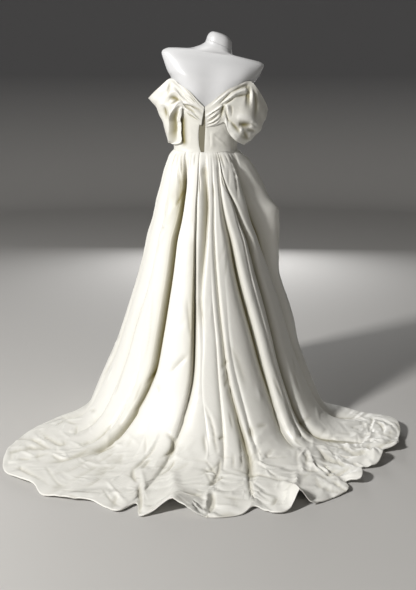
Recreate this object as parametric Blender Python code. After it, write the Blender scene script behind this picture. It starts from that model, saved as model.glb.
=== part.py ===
"""An off-the-shoulder satin evening gown with a train, on a limbless dress form.

Metres, +Z up. The gown's front faces -Y and its train lies on the floor behind it, at +Y. The wearer's
left is +X. Turns are measured round the body from centre back, towards the wearer's left, in degrees.
Every piece of cloth is a thin wall between an outer and an inner grid of points. The grids run in rows
from the top of a piece to its lower edge, and in columns round the body.
"""

import math
from typing import NamedTuple

import bpy
import numpy as np

CLOTH = 0.0020  # the wall that stands for satin with its underlining
SEAM = 0.0003  # the gap between two pieces at a seam
WAIST = 1.100  # the waist seam, above the floor
WAIST_DIP = 0.006  # how much lower the waist seam is at centre back
BODICE_EASE = 0.0024  # from the form to the inside of the bodice
DRAPE_EASE = BODICE_EASE + CLOTH + 0.0006  # from the form to the inside of a sleeve's band
SKIRT_EASE = 0.0012  # the least room between the form and the inside of the skirt
PLACKET_EASE = 0.0006  # from the form to the inside of the placket
PLACKET_CLOTH = 0.0012

SQUARENESS = 2.3  # of the body's sections: 2 would be an ellipse
BODY_COLUMNS = 40  # columns round the form
SHOULDER_RUNG = 8  # from this section upwards the form has twice the rows
SPINE_HOLLOW = 0.006
SPINE_SPAN = 13.0  # degrees either side of centre back

PLINTH_RADIUS = 0.180
PLINTH_HEIGHT = 0.012
PLINTH_BEVEL = 0.003
POLE_RADIUS = 0.016

SATIN = ("ivory_satin", (0.86, 0.84, 0.76), 0.38, 0.0)
GLASS_FIBRE = ("white_gloss_paint", (0.88, 0.88, 0.88), 0.22, 0.0)
STEEL = ("brushed_steel", (0.62, 0.62, 0.63), 0.32, 1.0)


# Tables and the smooth curves through them


def column(table, name):
    """One named column of a table, as numbers."""
    return np.array([getattr(row, name) for row in table], float)


def smooth(at, keys, values):
    """Read a smooth curve through a table's values. The keys rise."""
    keys = np.asarray(keys, float)
    values = np.asarray(values, float)
    slopes = np.gradient(values, keys)
    at = np.clip(at, keys[0], keys[-1])
    left = np.clip(np.searchsorted(keys, at, side="right") - 1, 0, len(keys) - 2)
    gap = keys[left + 1] - keys[left]
    t = (at - keys[left]) / gap
    start = (2 * t**3 - 3 * t**2 + 1) * values[left] + (t**3 - 2 * t**2 + t) * gap * slopes[left]
    end = (3 * t**2 - 2 * t**3) * values[left + 1] + (t**3 - t**2) * gap * slopes[left + 1]
    return start + end


def ramp(value, start, end):
    """0 before start, 1 after end, and a soft step between."""
    t = np.clip((value - start) / (end - start), 0, 1)
    return t * t * (3 - 2 * t)


def signed_power(value, power):
    return np.sign(value) * np.abs(value) ** power


# The figure that the form and the bodice share


class Section(NamedTuple):
    """One section of the body. The shoulders tilt: roll is in degrees, up on the wearer's left."""

    height: float
    centre_x: float
    half_width: float
    back: float
    front: float
    roll: float


BODY = [
    Section(0.860, 0.000, 0.150, 0.095, 0.095, 0),
    Section(0.900, 0.000, 0.155, 0.105, 0.100, 0),
    Section(0.980, 0.000, 0.145, 0.100, 0.095, 0),
    Section(1.040, 0.000, 0.128, 0.092, 0.089, 0),
    Section(1.100, 0.000, 0.1215, 0.086, 0.086, 0),
    Section(1.160, 0.000, 0.127, 0.087, 0.094, 0),
    Section(1.220, -0.004, 0.137, 0.090, 0.114, 0),
    Section(1.270, -0.008, 0.147, 0.094, 0.123, 0),
    Section(1.320, -0.020, 0.152, 0.098, 0.112, 1.5),
    Section(1.364, -0.027, 0.161, 0.094, 0.092, 3.5),
    Section(1.388, -0.027, 0.176, 0.086, 0.080, 5.0),
    Section(1.424, -0.029, 0.192, 0.068, 0.062, 6.0),
    Section(1.449, -0.029, 0.199, 0.050, 0.048, 7.0),
    Section(1.462, -0.030, 0.180, 0.044, 0.042, 8.2),
    Section(1.467, -0.031, 0.148, 0.044, 0.043, 8.8),
    Section(1.471, -0.038, 0.099, 0.048, 0.045, 10.0),
    Section(1.478, -0.047, 0.070, 0.052, 0.049, 16.0),
    Section(1.487, -0.051, 0.054, 0.051, 0.050, 22.0),
    Section(1.498, -0.052, 0.0495, 0.0495, 0.0495, 22.0),
]
NECK_CAP = [
    Section(1.4985, -0.0521, 0.0492, 0.0492, 0.0492, 22.0),
    Section(1.514, -0.055, 0.0475, 0.0475, 0.0475, 21.0),
    Section(1.527, -0.058, 0.0430, 0.0435, 0.0435, 20.0),
    Section(1.537, -0.058, 0.0330, 0.0350, 0.0350, 19.0),
    Section(1.542, -0.056, 0.0180, 0.0200, 0.0200, 17.0),
]
RUNGS = np.arange(len(BODY), dtype=float)
LADDER = np.linspace(0, len(BODY) - 1, 800)
LADDER_HEIGHTS = smooth(LADDER, RUNGS, column(BODY, "height"))


def section_ring(table, rung, turn, out=0.0):
    """Points on a body section, at a place along the table, a turn in degrees and a distance outside it."""
    places = np.arange(len(table), dtype=float)
    height, centre, half_width, back, front, roll = (
        smooth(rung, places, column(table, name)) for name in Section._fields
    )
    across = signed_power(np.sin(np.radians(turn)), 2 / SQUARENESS)
    along = signed_power(np.cos(np.radians(turn)), 2 / SQUARENESS)
    x = (half_width + out) * across
    y = (np.where(along > 0, back, front) + out) * along
    return np.stack([centre + x, y, height + x * np.tan(np.radians(roll))], axis=-1)


def body(turn, height, out=0.0):
    """A point on the body at a height, or out from it."""
    rung = np.interp(height, LADDER_HEIGHTS, LADDER)
    return section_ring(BODY, *np.broadcast_arrays(rung, turn), out)


def clear_of_body(points, least):
    """Move points outwards, level, until they are at least this far from the body."""
    rung = np.interp(points[..., 2], LADDER_HEIGHTS, LADDER)
    centre, half_width, back, front, roll = (
        smooth(rung, RUNGS, column(BODY, name)) for name in Section._fields[1:]
    )
    level = points[..., 2] - (points[..., 0] - centre) * np.tan(np.radians(roll))
    rung = np.interp(level, LADDER_HEIGHTS, LADDER)
    centre, half_width, back, front = (
        smooth(rung, RUNGS, column(BODY, name)) for name in Section._fields[1:5]
    )
    x = points[..., 0] - centre
    y = points[..., 1]
    reach = np.hypot(x, y)
    depth = np.where(y > 0, back, front)
    power = SQUARENESS
    size = (np.abs(x / half_width) ** power + np.abs(y / depth) ** power) ** (1 / power)
    push = np.maximum(least - reach * (1 - 1 / size), 0) / reach
    moved = points.copy()
    moved[..., 0] += x * push
    moved[..., 1] += y * push
    return moved


def waist_height(turn):
    """The waist seam dips towards centre back."""
    return WAIST - WAIST_DIP * np.maximum(np.cos(np.radians(turn)), 0) ** 2


# Thin walls


def grid_normals(grid):
    """Outward unit normals of a grid whose rows run down the body and whose columns turn to its left."""
    down = np.gradient(grid, axis=0)
    round_ = np.gradient(grid, axis=1)
    normals = np.cross(round_, down)
    return normals / np.maximum(np.linalg.norm(normals, axis=-1, keepdims=True), 1e-9)


def inside_of(grid, thickness):
    """The inner face of a wall: thicker along the normal at a sharp fold, so that its sides keep theirs."""
    normals = grid_normals(grid)
    edge = np.diff(grid, axis=1)
    side = np.cross(edge, np.gradient(grid, axis=0)[:, :-1])
    side /= np.maximum(np.linalg.norm(side, axis=-1, keepdims=True), 1e-9)
    before = np.concatenate([side[:, :1], side], axis=1)
    after = np.concatenate([side, side[:, -1:]], axis=1)
    lean = 0.5 * (np.sum(normals * before, axis=-1) + np.sum(normals * after, axis=-1))
    return grid - normals * (thickness / np.clip(lean, 0.65, 1))[..., None]


def all_round(make, grid, *sizes):
    """Work on a grid whose last column repeats its first, with each seeing its neighbours on both sides."""
    padded = np.concatenate([grid[:, -2:-1], grid, grid[:, 1:2]], axis=1)
    return make(padded, *sizes)[:, 1:-1]


def wall(name, outer, inner, finish):
    """Close two matching grids of points into one thin solid, with the same diagonals on both faces."""
    rows, columns = outer.shape[:2]
    points = np.concatenate([outer.reshape(-1, 3), inner.reshape(-1, 3)])
    here = np.arange(rows * columns).reshape(rows, columns)
    a, b = here[:-1, :-1].ravel(), here[:-1, 1:].ravel()
    c, d = here[1:, 1:].ravel(), here[1:, :-1].ravel()
    face = np.concatenate([np.stack([a, c, b], 1), np.stack([a, d, c], 1)])
    back = rows * columns
    band = []
    for line, turned_round in ((here[0], 1), (here[:, -1], 1), (here[-1], -1), (here[:, 0], -1)):
        first, second = line[:-1], line[1:]
        band.append(np.stack([first, second, second + back], 1)[:, ::turned_round])
        band.append(np.stack([first, second + back, first + back], 1)[:, ::turned_round])
    band = np.concatenate(band)
    faces = np.concatenate([face, face[:, ::-1] + back, band])
    return solid(name, points, faces, finish)


def solid(name, points, faces, finish):
    """One named object from points and triangles, with its faces turned outwards."""
    corners = points[faces]
    volume = np.einsum("ij,ij->i", corners[:, 0], np.cross(corners[:, 1], corners[:, 2])).sum()
    if volume < 0:
        faces = faces[:, ::-1]
    mesh = bpy.data.meshes.new(name)
    mesh.from_pydata(points.tolist(), [], faces.tolist())
    mesh.shade_smooth()
    mesh.set_sharp_from_angle(angle=math.radians(50))
    piece = bpy.data.objects.new(name, mesh)
    piece.data.materials.append(material(*finish))
    bpy.context.scene.collection.objects.link(piece)
    return piece


def material(name, colour, roughness, metallic):
    """A plain finish, made once and shared by the pieces that have it."""
    found = bpy.data.materials.get(name)
    if found:
        return found
    made = bpy.data.materials.new(name)
    made.use_nodes = True
    shader = made.node_tree.nodes["Principled BSDF"]
    shader.inputs["Base Color"].default_value = (*colour, 1)
    shader.inputs["Roughness"].default_value = roughness
    shader.inputs["Metallic"].default_value = metallic
    return made


def turned(name, rings, finish):
    """A closed body from rings of points, bottom to top, with a flat fan over each end."""
    count, columns = rings.shape[:2]
    points = np.concatenate([rings.reshape(-1, 3), [rings[0].mean(axis=0)], [rings[-1].mean(axis=0)]])
    here = np.arange(count * columns).reshape(count, columns)
    there = np.roll(here, -1, axis=1)
    a, b = here[:-1].ravel(), there[:-1].ravel()
    c, d = there[1:].ravel(), here[1:].ravel()
    bottom, top = count * columns, count * columns + 1
    faces = np.concatenate([
        np.stack([a, b, c], 1),
        np.stack([a, c, d], 1),
        np.stack([there[0], here[0], np.full(columns, bottom)], 1),
        np.stack([here[-1], there[-1], np.full(columns, top)], 1),
    ])
    return solid(name, points, faces, finish)


# The dress form: torso with shoulder stumps and neck, its cap, pole and base


def dress_form():
    turns = np.arange(BODY_COLUMNS) * 360 / BODY_COLUMNS
    rungs = np.concatenate([np.arange(SHOULDER_RUNG), np.arange(SHOULDER_RUNG, len(BODY) - 0.5, 0.5)])[:, None]
    rings = section_ring(BODY, *np.broadcast_arrays(rungs, turns[None]))
    toward_back = (turns + 180) % 360 - 180
    hollow = np.exp(-((toward_back / SPINE_SPAN) ** 2))[None]
    level = rings[..., 2]
    rings[..., 1] -= SPINE_HOLLOW * hollow * ramp(level, 1.18, 1.26) * ramp(-level, -1.46, -1.38)
    turned("form_torso", rings, GLASS_FIBRE)
    cap_rungs = np.arange(0, len(NECK_CAP) - 0.5, 0.5)[:, None]
    cap = section_ring(NECK_CAP, *np.broadcast_arrays(cap_rungs, turns[None, ::2]))
    turned("form_neck_cap", cap, GLASS_FIBRE)
    lathe("form_base", [
        (PLINTH_RADIUS, 0),
        (PLINTH_RADIUS, PLINTH_HEIGHT - PLINTH_BEVEL),
        (PLINTH_RADIUS - PLINTH_BEVEL, PLINTH_HEIGHT),
    ], 64)
    lathe("form_pole", [(POLE_RADIUS, PLINTH_HEIGHT + SEAM), (POLE_RADIUS, BODY[0].height - SEAM)], 24)


def lathe(name, profile, sides):
    """A round steel piece from a profile of (radius, height), bottom to top."""
    angles = np.arange(sides) * math.tau / sides
    rings = [
        np.stack([radius * np.sin(angles), radius * np.cos(angles), np.full(sides, height)], 1)
        for radius, height in profile
    ]
    turned(name, np.array(rings), STEEL)


# The bodice and the placket behind its closing


class Opening(NamedTuple):
    """The centre-back closing at a height: where the two back edges stop, in metres across."""

    height: float
    left_edge: float
    right_edge: float


CLOSING = [
    Opening(1.090, 0.0165, 0.0045),
    Opening(1.120, 0.0240, 0.0035),
    Opening(1.150, 0.0262, 0.0020),
    Opening(1.200, 0.0220, -0.0003),
    Opening(1.235, 0.0095, -0.0005),
    Opening(1.268, 0.0042, 0.0012),
]


class TopEdge(NamedTuple):
    """The bodice's top edge, under the sleeves' bands."""

    turn: float
    height: float


BODICE_TOP = [
    TopEdge(-180, 1.283),
    TopEdge(-155, 1.312),
    TopEdge(-120, 1.322),
    TopEdge(-90, 1.305),
    TopEdge(-50, 1.300),
    TopEdge(-20, 1.275),
    TopEdge(0, 1.256),
    TopEdge(20, 1.275),
    TopEdge(50, 1.300),
    TopEdge(90, 1.305),
    TopEdge(120, 1.322),
    TopEdge(155, 1.312),
    TopEdge(180, 1.283),
]
BACK_SEAM = 62.0
FRONT_SEAM = 128.0
BODICE_ROWS = 8
EDGE_ROLL = 0.0035  # the right back edge is rolled proud of the closing
EDGE_ROLL_TURN = -8.0
EDGE_ROLL_SPAN = 5.0
PLACKET_LAP = 0.004  # how far it runs behind each back edge


def turn_across(x, height):
    """The turn, near centre back, at which the body's surface has this x."""
    rung = np.interp(height, LADDER_HEIGHTS, LADDER)
    centre = smooth(rung, RUNGS, column(BODY, "centre_x"))
    half_width = smooth(rung, RUNGS, column(BODY, "half_width"))
    share = signed_power((x - centre) / half_width, SQUARENESS / 2)
    return np.degrees(np.arcsin(share))


def closing_edge(side, height):
    return smooth(height, column(CLOSING, "height"), column(CLOSING, side))


def bodice_wall(name, start, end, columns):
    """A bodice panel between two edges, each given as a turn or as a function of the height."""
    across = np.linspace(0, 1, columns)[None]
    down = np.linspace(1, 0, BODICE_ROWS)[:, None]
    guess = start(WAIST) if callable(start) else start
    finish_turn = end(WAIST) if callable(end) else end
    turns = guess + (finish_turn - guess) * across
    lowest = waist_height(turns) + SEAM / 2
    highest = smooth(turns, column(BODICE_TOP, "turn"), column(BODICE_TOP, "height"))
    heights = lowest + (highest - lowest) * down
    first = start(heights[:, :1]) if callable(start) else np.full_like(heights[:, :1], start)
    last = end(heights[:, -1:]) if callable(end) else np.full_like(heights[:, :1], end)
    turns = first + (last - first) * across
    roll = EDGE_ROLL * np.exp(-(((turns - EDGE_ROLL_TURN) / EDGE_ROLL_SPAN) ** 2))
    roll *= ramp(heights, 1.10, 1.13) * ramp(-heights, -1.185, -1.160)
    inner = body(turns, heights, BODICE_EASE + roll)
    outer = body(turns, heights, BODICE_EASE + CLOTH + roll)
    wall(name, outer, inner, SATIN)


def bodice():
    seam_turn = math.degrees(SEAM / 2 / 0.13)
    left = lambda height: turn_across(closing_edge("left_edge", height), height)
    right = lambda height: turn_across(closing_edge("right_edge", height), height)
    bodice_wall("bodice_back_left", left, BACK_SEAM - seam_turn, 9)
    bodice_wall("bodice_side_left", BACK_SEAM + seam_turn, FRONT_SEAM - seam_turn, 10)
    bodice_wall("bodice_side_right", seam_turn - FRONT_SEAM, -BACK_SEAM - seam_turn, 10)
    bodice_wall("bodice_back_right", seam_turn - BACK_SEAM, right, 14)
    front_wall(FRONT_SEAM + seam_turn)
    placket()


def front_wall(edge):
    """The front panel runs past centre front, so its turns go over 180 degrees."""
    across = np.linspace(edge, 360 - edge, 15)[None]
    down = np.linspace(1, 0, BODICE_ROWS)[:, None]
    folded = np.where(across > 180, across - 360, across)
    lowest = waist_height(folded) + SEAM / 2
    highest = smooth(folded, column(BODICE_TOP, "turn"), column(BODICE_TOP, "height"))
    heights = lowest + (highest - lowest) * down
    turns = np.broadcast_to(across, heights.shape)
    inner = body(turns, heights, BODICE_EASE)
    outer = body(turns, heights, BODICE_EASE + CLOTH)
    wall("bodice_front", outer, inner, SATIN)


def placket():
    """A flat strip behind the closing, seen as a dark stripe between the back edges."""
    heights = np.linspace(1.250, WAIST - WAIST_DIP + 0.001, BODICE_ROWS)[:, None]
    left = closing_edge("left_edge", heights) + PLACKET_LAP
    right = closing_edge("right_edge", heights) - PLACKET_LAP
    x = right + (left - right) * np.linspace(0, 1, 6)[None]
    turns = turn_across(x, heights)
    inner = body(turns, heights, PLACKET_EASE)
    outer = body(turns, heights, PLACKET_EASE + PLACKET_CLOTH)
    wall("back_placket", outer, inner, SATIN)


# The draped sleeves


class Station(NamedTuple):
    """One place along a sleeve's band, from centre back to centre front.

    Its upper and lower edges are each a turn, a height on the body and a distance out from it. The
    belly is how far the band's middle swells beyond the straight line between them, and the gathers
    are the height of the folds along it. Lengths are in metres.
    """

    top_turn: float
    top_height: float
    top_out: float
    low_turn: float
    low_height: float
    low_out: float
    belly: float
    gathers: float


SLEEVE_LEFT = [
    Station(3.1, 1.266, 0.007, 8.6, 1.192, 0.007, 0.002, 0.0030),
    Station(33, 1.316, 0.007, 20, 1.228, 0.007, 0.003, 0.0060),
    Station(58, 1.361, 0.020, 37, 1.262, 0.011, 0.006, 0.0080),
    Station(74, 1.328, 0.060, 53, 1.222, 0.021, 0.003, 0.0070),
    Station(89, 1.296, 0.089, 74, 1.146, 0.022, -0.012, 0.0040),
    Station(106, 1.316, 0.066, 98, 1.121, 0.017, -0.010, 0.0060),
    Station(122, 1.348, 0.022, 122, 1.165, 0.014, 0.008, 0.0080),
    Station(150, 1.330, 0.007, 150, 1.225, 0.008, 0.006, 0.0070),
    Station(179.97, 1.298, 0.007, 179.97, 1.200, 0.007, 0.003, 0.0040),
]
SLEEVE_RIGHT = [
    Station(-2.3, 1.266, 0.007, -0.2, 1.190, 0.007, 0.002, 0.0040),
    Station(15, 1.322, 0.007, 12, 1.197, 0.007, 0.003, 0.0060),
    Station(30, 1.347, 0.007, 28, 1.208, 0.009, 0.006, 0.0080),
    Station(56, 1.371, 0.008, 38, 1.170, 0.015, 0.014, 0.0080),
    Station(80, 1.305, 0.060, 53, 1.137, 0.026, 0.019, 0.0070),
    Station(97, 1.253, 0.101, 75, 1.121, 0.034, 0.021, 0.0060),
    Station(114, 1.302, 0.064, 98, 1.125, 0.034, 0.024, 0.0060),
    Station(128, 1.348, 0.020, 122, 1.165, 0.018, 0.008, 0.0080),
    Station(150, 1.330, 0.007, 150, 1.225, 0.008, 0.006, 0.0070),
    Station(179.97, 1.298, 0.007, 179.97, 1.200, 0.007, 0.003, 0.0040),
]
STEPS_BETWEEN_STATIONS = 4
BAND_ROWS = 10
BAND_FOLDS = 3  # folds that run along the band


def band_points(stations, steps, across, side):
    """A sleeve's band: a smooth strip through its stations, folded along its length."""
    places = np.arange(len(stations), dtype=float)
    along = np.linspace(0, len(stations) - 1, (len(stations) - 1) * steps + 1)
    read = {name: smooth(along, places, column(stations, name)) for name in Station._fields}
    top = body(side * read["top_turn"], read["top_height"], read["top_out"])
    low = body(side * read["low_turn"], read["low_height"], read["low_out"])
    share = across[:, None, None]
    strip = top[None] + (low - top)[None] * share
    out = band_normals(strip, side)
    swell = np.sin(math.pi * across)[:, None] * read["belly"][None]
    ridge = 0.5 - 0.5 * np.cos(math.tau * BAND_FOLDS * across)
    ridge = (ridge - 0.5)[:, None] * read["gathers"][None] * np.sin(math.pi * across)[:, None] ** 0.5
    return strip + out * (swell + ridge)[..., None]


def band_normals(strip, side):
    """Outward normals of a band. At its ends they stay square to the seams at centre back and front."""
    normals = grid_normals(strip) * side
    normals[:, [0, -1], 0] = 0
    return normals / np.linalg.norm(normals, axis=-1, keepdims=True)


def sleeve(name, stations, side):
    across = np.linspace(0, 1, BAND_ROWS + 1)
    outer = band_points(stations, STEPS_BETWEEN_STATIONS, across, side)
    outer = clear_of_body(outer, DRAPE_EASE + CLOTH)
    inner = outer - band_normals(outer, side) * CLOTH
    wall(name, outer, clear_of_body(inner, DRAPE_EASE), SATIN)


# The skirt, with its folds and its train


class Ring(NamedTuple):
    """The hanging skirt's outline at a height, over the crests of its folds."""

    height: float
    half_width: float
    back: float
    front: float
    right_hip: float


SKIRT = [
    Ring(0.020, 0.502, 0.560, 0.452, 0.000),
    Ring(0.080, 0.480, 0.508, 0.430, 0.000),
    Ring(0.177, 0.440, 0.452, 0.398, 0.000),
    Ring(0.284, 0.386, 0.405, 0.358, 0.010),
    Ring(0.390, 0.348, 0.364, 0.322, 0.028),
    Ring(0.495, 0.313, 0.325, 0.290, 0.032),
    Ring(0.598, 0.280, 0.288, 0.258, 0.031),
    Ring(0.650, 0.265, 0.270, 0.244, 0.041),
    Ring(0.699, 0.253, 0.253, 0.230, 0.052),
    Ring(0.766, 0.238, 0.230, 0.211, 0.069),
    Ring(0.832, 0.216, 0.207, 0.191, 0.089),
    Ring(0.864, 0.209, 0.196, 0.182, 0.091),
    Ring(0.897, 0.202, 0.185, 0.173, 0.070),
    Ring(0.962, 0.183, 0.161, 0.153, 0.054),
    Ring(1.026, 0.166, 0.138, 0.133, 0.036),
    Ring(1.058, 0.154, 0.122, 0.119, 0.025),
    Ring(1.085, 0.142, 0.106, 0.105, 0.008),
    Ring(1.100, 0.1280, 0.0928, 0.0928, 0.000),
]
RIGHT_HIP_TURN = -95.0
RIGHT_HIP_SPAN = 33.0


class Fold(NamedTuple):
    """One fold line of the skirt: the bottom of the trough between two soft crests.

    The first nine columns are its turn, in degrees, from the waist down to the floor and at the hem.
    Then come its depth in millimetres from the waist down to the floor, the share of the train that it
    crosses, how far it pulls the hem in, and how far the crest after it lifts the hem, in millimetres.
    """

    waist: float
    hip: float
    seat: float
    thigh: float
    knee: float
    calf: float
    ankle: float
    floor: float
    hem: float
    depth_top: float
    depth_high: float
    depth_mid: float
    depth_low: float
    depth_floor: float
    runs_out: float
    notch: float
    lift: float


TURN_HEIGHTS = (0.05, 0.22, 0.40, 0.58, 0.80, 0.90, 1.00, 1.10)
DEPTH_HEIGHTS = (0.05, 0.40, 0.75, 0.95, 1.10)
BACK_FOLDS = [
    Fold(-50, -60, -68, -76, -86, -81, -78, -78, -77, 3, 30, 50, 45, 34, 0.60, 10, 26),
    Fold(-39, -38, -42, -52, -57, -58, -58, -60, -63, 3, 8, 1, 2, 8, 0.90, 14, 18),
    Fold(-31, -23, -35, -43.5, -44.5, -48, -46.5, -47, -52, 3, 20, 34, 38, 34, 0.75, 30, 12),
    Fold(-25, -21.3, -27, -32, -32.5, -33.5, -34, -35.5, -37, 3, 4, 9, 22, 24, 0.20, 24, 6),
    Fold(-17.5, -19.8, -19.7, -20.3, -22, -27.5, -27, -20, -29, 3, 15, 30, 30, 24, 0.30, 6, 6),
    Fold(-9.5, -9.5, -9.3, -8.6, -9.6, -12, -14.3, -16.5, -17, 3, 8, 13, 18, 18, 0.20, 8, 30),
    Fold(-4.5, -4.5, -4.5, -4, -3.5, -5.5, -7.2, -8.5, -10, 1, 1, 1, 8, 16, 0.35, 34, 8),
    Fold(0, -1, -1.5, 1.5, 3, 4, 2, -1, -2, 3, 13, 16, 7, 3, 0.10, 2, 10),
    Fold(8.6, 9.5, 10.8, 10.4, 8.6, 7.6, 6.8, 10.5, 15, 3, 14, 22, 24, 22, 0.45, 52, 36),
    Fold(26.5, 22, 20, 20, 19, 19, 20, 24, 26, 3, 6, 1, 1, 2, 0.10, 2, 8),
    Fold(39, 28, 28.5, 31.5, 31, 31, 33.5, 42, 37, 3, 19, 24, 30, 26, 0.40, 22, 10),
    Fold(51, 55, 57, 53, 57, 52, 53, 58, 56, 3, 10, 12, 14, 16, 0.70, 12, 16),
]
HIDDEN_FOLDS = 12
HIDDEN_START = 75.0
HIDDEN_STEP = 16.4
CREST_SHARES = (0, 0.1, 0.36, 0.64, 0.9)  # the columns between one fold line and the next
HIDDEN_CREST_SHARES = (0, 0.13, 0.5, 0.87)
CREST_POWER = 2.2
CREST_ROUNDNESS = 0.6

HANGING_ROWS = (
    WAIST, 1.088, 1.062, 1.015, 0.955, 0.885, 0.805, 0.705, 0.585, 0.455, 0.325, 0.205, 0.115,
)
FIRST_DROP = 0.06  # over this height under the waist, the rows level out from the waist's dip
TRAIN_START = 0.045  # the height at which the hanging skirt turns on to the floor


class TrainRow(NamedTuple):
    """A row of the train, by its share of the way to the hem, and the height of its crests."""

    share: float
    crest: float


TRAIN = [
    TrainRow(0.00, 0.050),
    TrainRow(0.12, 0.034),
    TrainRow(0.28, 0.024),
    TrainRow(0.46, 0.018),
    TrainRow(0.65, 0.014),
    TrainRow(0.84, 0.011),
    TrainRow(1.00, 0.006),
]
HEM_LIFT_START = 0.62


class Hem(NamedTuple):
    """How far the hem reaches along the floor, at a turn from centre back."""

    turn: float
    reach: float


HEM = [
    Hem(-180, 0.472),
    Hem(-140, 0.480),
    Hem(-112, 0.495),
    Hem(-99, 0.510),
    Hem(-91, 0.532),
    Hem(-84, 0.622),
    Hem(-78, 0.742),
    Hem(-68, 0.822),
    Hem(-58, 0.855),
    Hem(-50, 0.862),
    Hem(-40, 0.892),
    Hem(-30, 0.928),
    Hem(-15, 0.948),
    Hem(0, 0.945),
    Hem(15, 0.958),
    Hem(35, 0.972),
    Hem(46, 0.962),
    Hem(54, 0.925),
    Hem(62, 0.828),
    Hem(70, 0.722),
    Hem(78, 0.622),
    Hem(86, 0.540),
    Hem(95, 0.500),
    Hem(112, 0.488),
    Hem(140, 0.480),
    Hem(180, 0.472),
]


class Hollow(NamedTuple):
    """A soft dent in the skirt, in degrees and metres."""

    turn: float
    height: float
    half_turn: float
    half_height: float
    depth: float


HOLLOWS = [
    Hollow(43, 0.905, 11, 0.085, 0.013),  # the slack of the left hip pleat
    Hollow(2, 1.030, 6, 0.030, 0.004),  # the drop-shaped start of the centre-back fold
]
PANELS = [
    ("skirt_back_right", 0, 7),
    ("skirt_back_left", 7, 12),
    ("skirt_side_left", 12, 15),
    ("skirt_front", 15, 21),
    ("skirt_side_right", 21, 24),
]


def all_folds():
    """The fold lines seen in the back view, then those of the sides and front, evenly made."""
    folds = list(BACK_FOLDS)
    for number in range(HIDDEN_FOLDS):
        turn = HIDDEN_START + HIDDEN_STEP * number
        sway = 2.5 * math.sin(1.7 * number + 0.6)
        turns = [turn + share * sway for share in (0, 0.6, 1, 1.2, 1.2, 0.8, 0.3, 0, 0)]
        deep = 1 + 0.25 * math.sin(2.3 * number)
        depths = [3, 13 * deep, 19 * deep, 25 * deep, 20 * deep]
        folds.append(Fold(*turns, *depths, 0.8, 6, 7))
    first = folds[0]
    folds.append(first._replace(**{name: getattr(first, name) + 360 for name in Fold._fields[:9]}))
    return folds


def skirt_base(turn, height):
    """The hanging skirt without its folds."""
    keys = column(SKIRT, "height")
    angle = np.radians(turn)
    half_width = smooth(height, keys, column(SKIRT, "half_width"))
    back = smooth(height, keys, column(SKIRT, "back"))
    front = smooth(height, keys, column(SKIRT, "front"))
    hip = smooth(height, keys, column(SKIRT, "right_hip"))
    from_hip = (turn - RIGHT_HIP_TURN + 180) % 360 - 180
    hip = hip * np.cos(np.radians(np.clip(from_hip / RIGHT_HIP_SPAN, -1, 1) * 90)) ** 2
    along = np.cos(angle)
    x = (half_width + hip) * np.sin(angle)
    y = np.where(along > 0, back, front) * along
    return np.stack([x, y, height + 0 * x], axis=-1)


def crest_shares(number):
    return CREST_SHARES if number < len(BACK_FOLDS) else HIDDEN_CREST_SHARES


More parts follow.
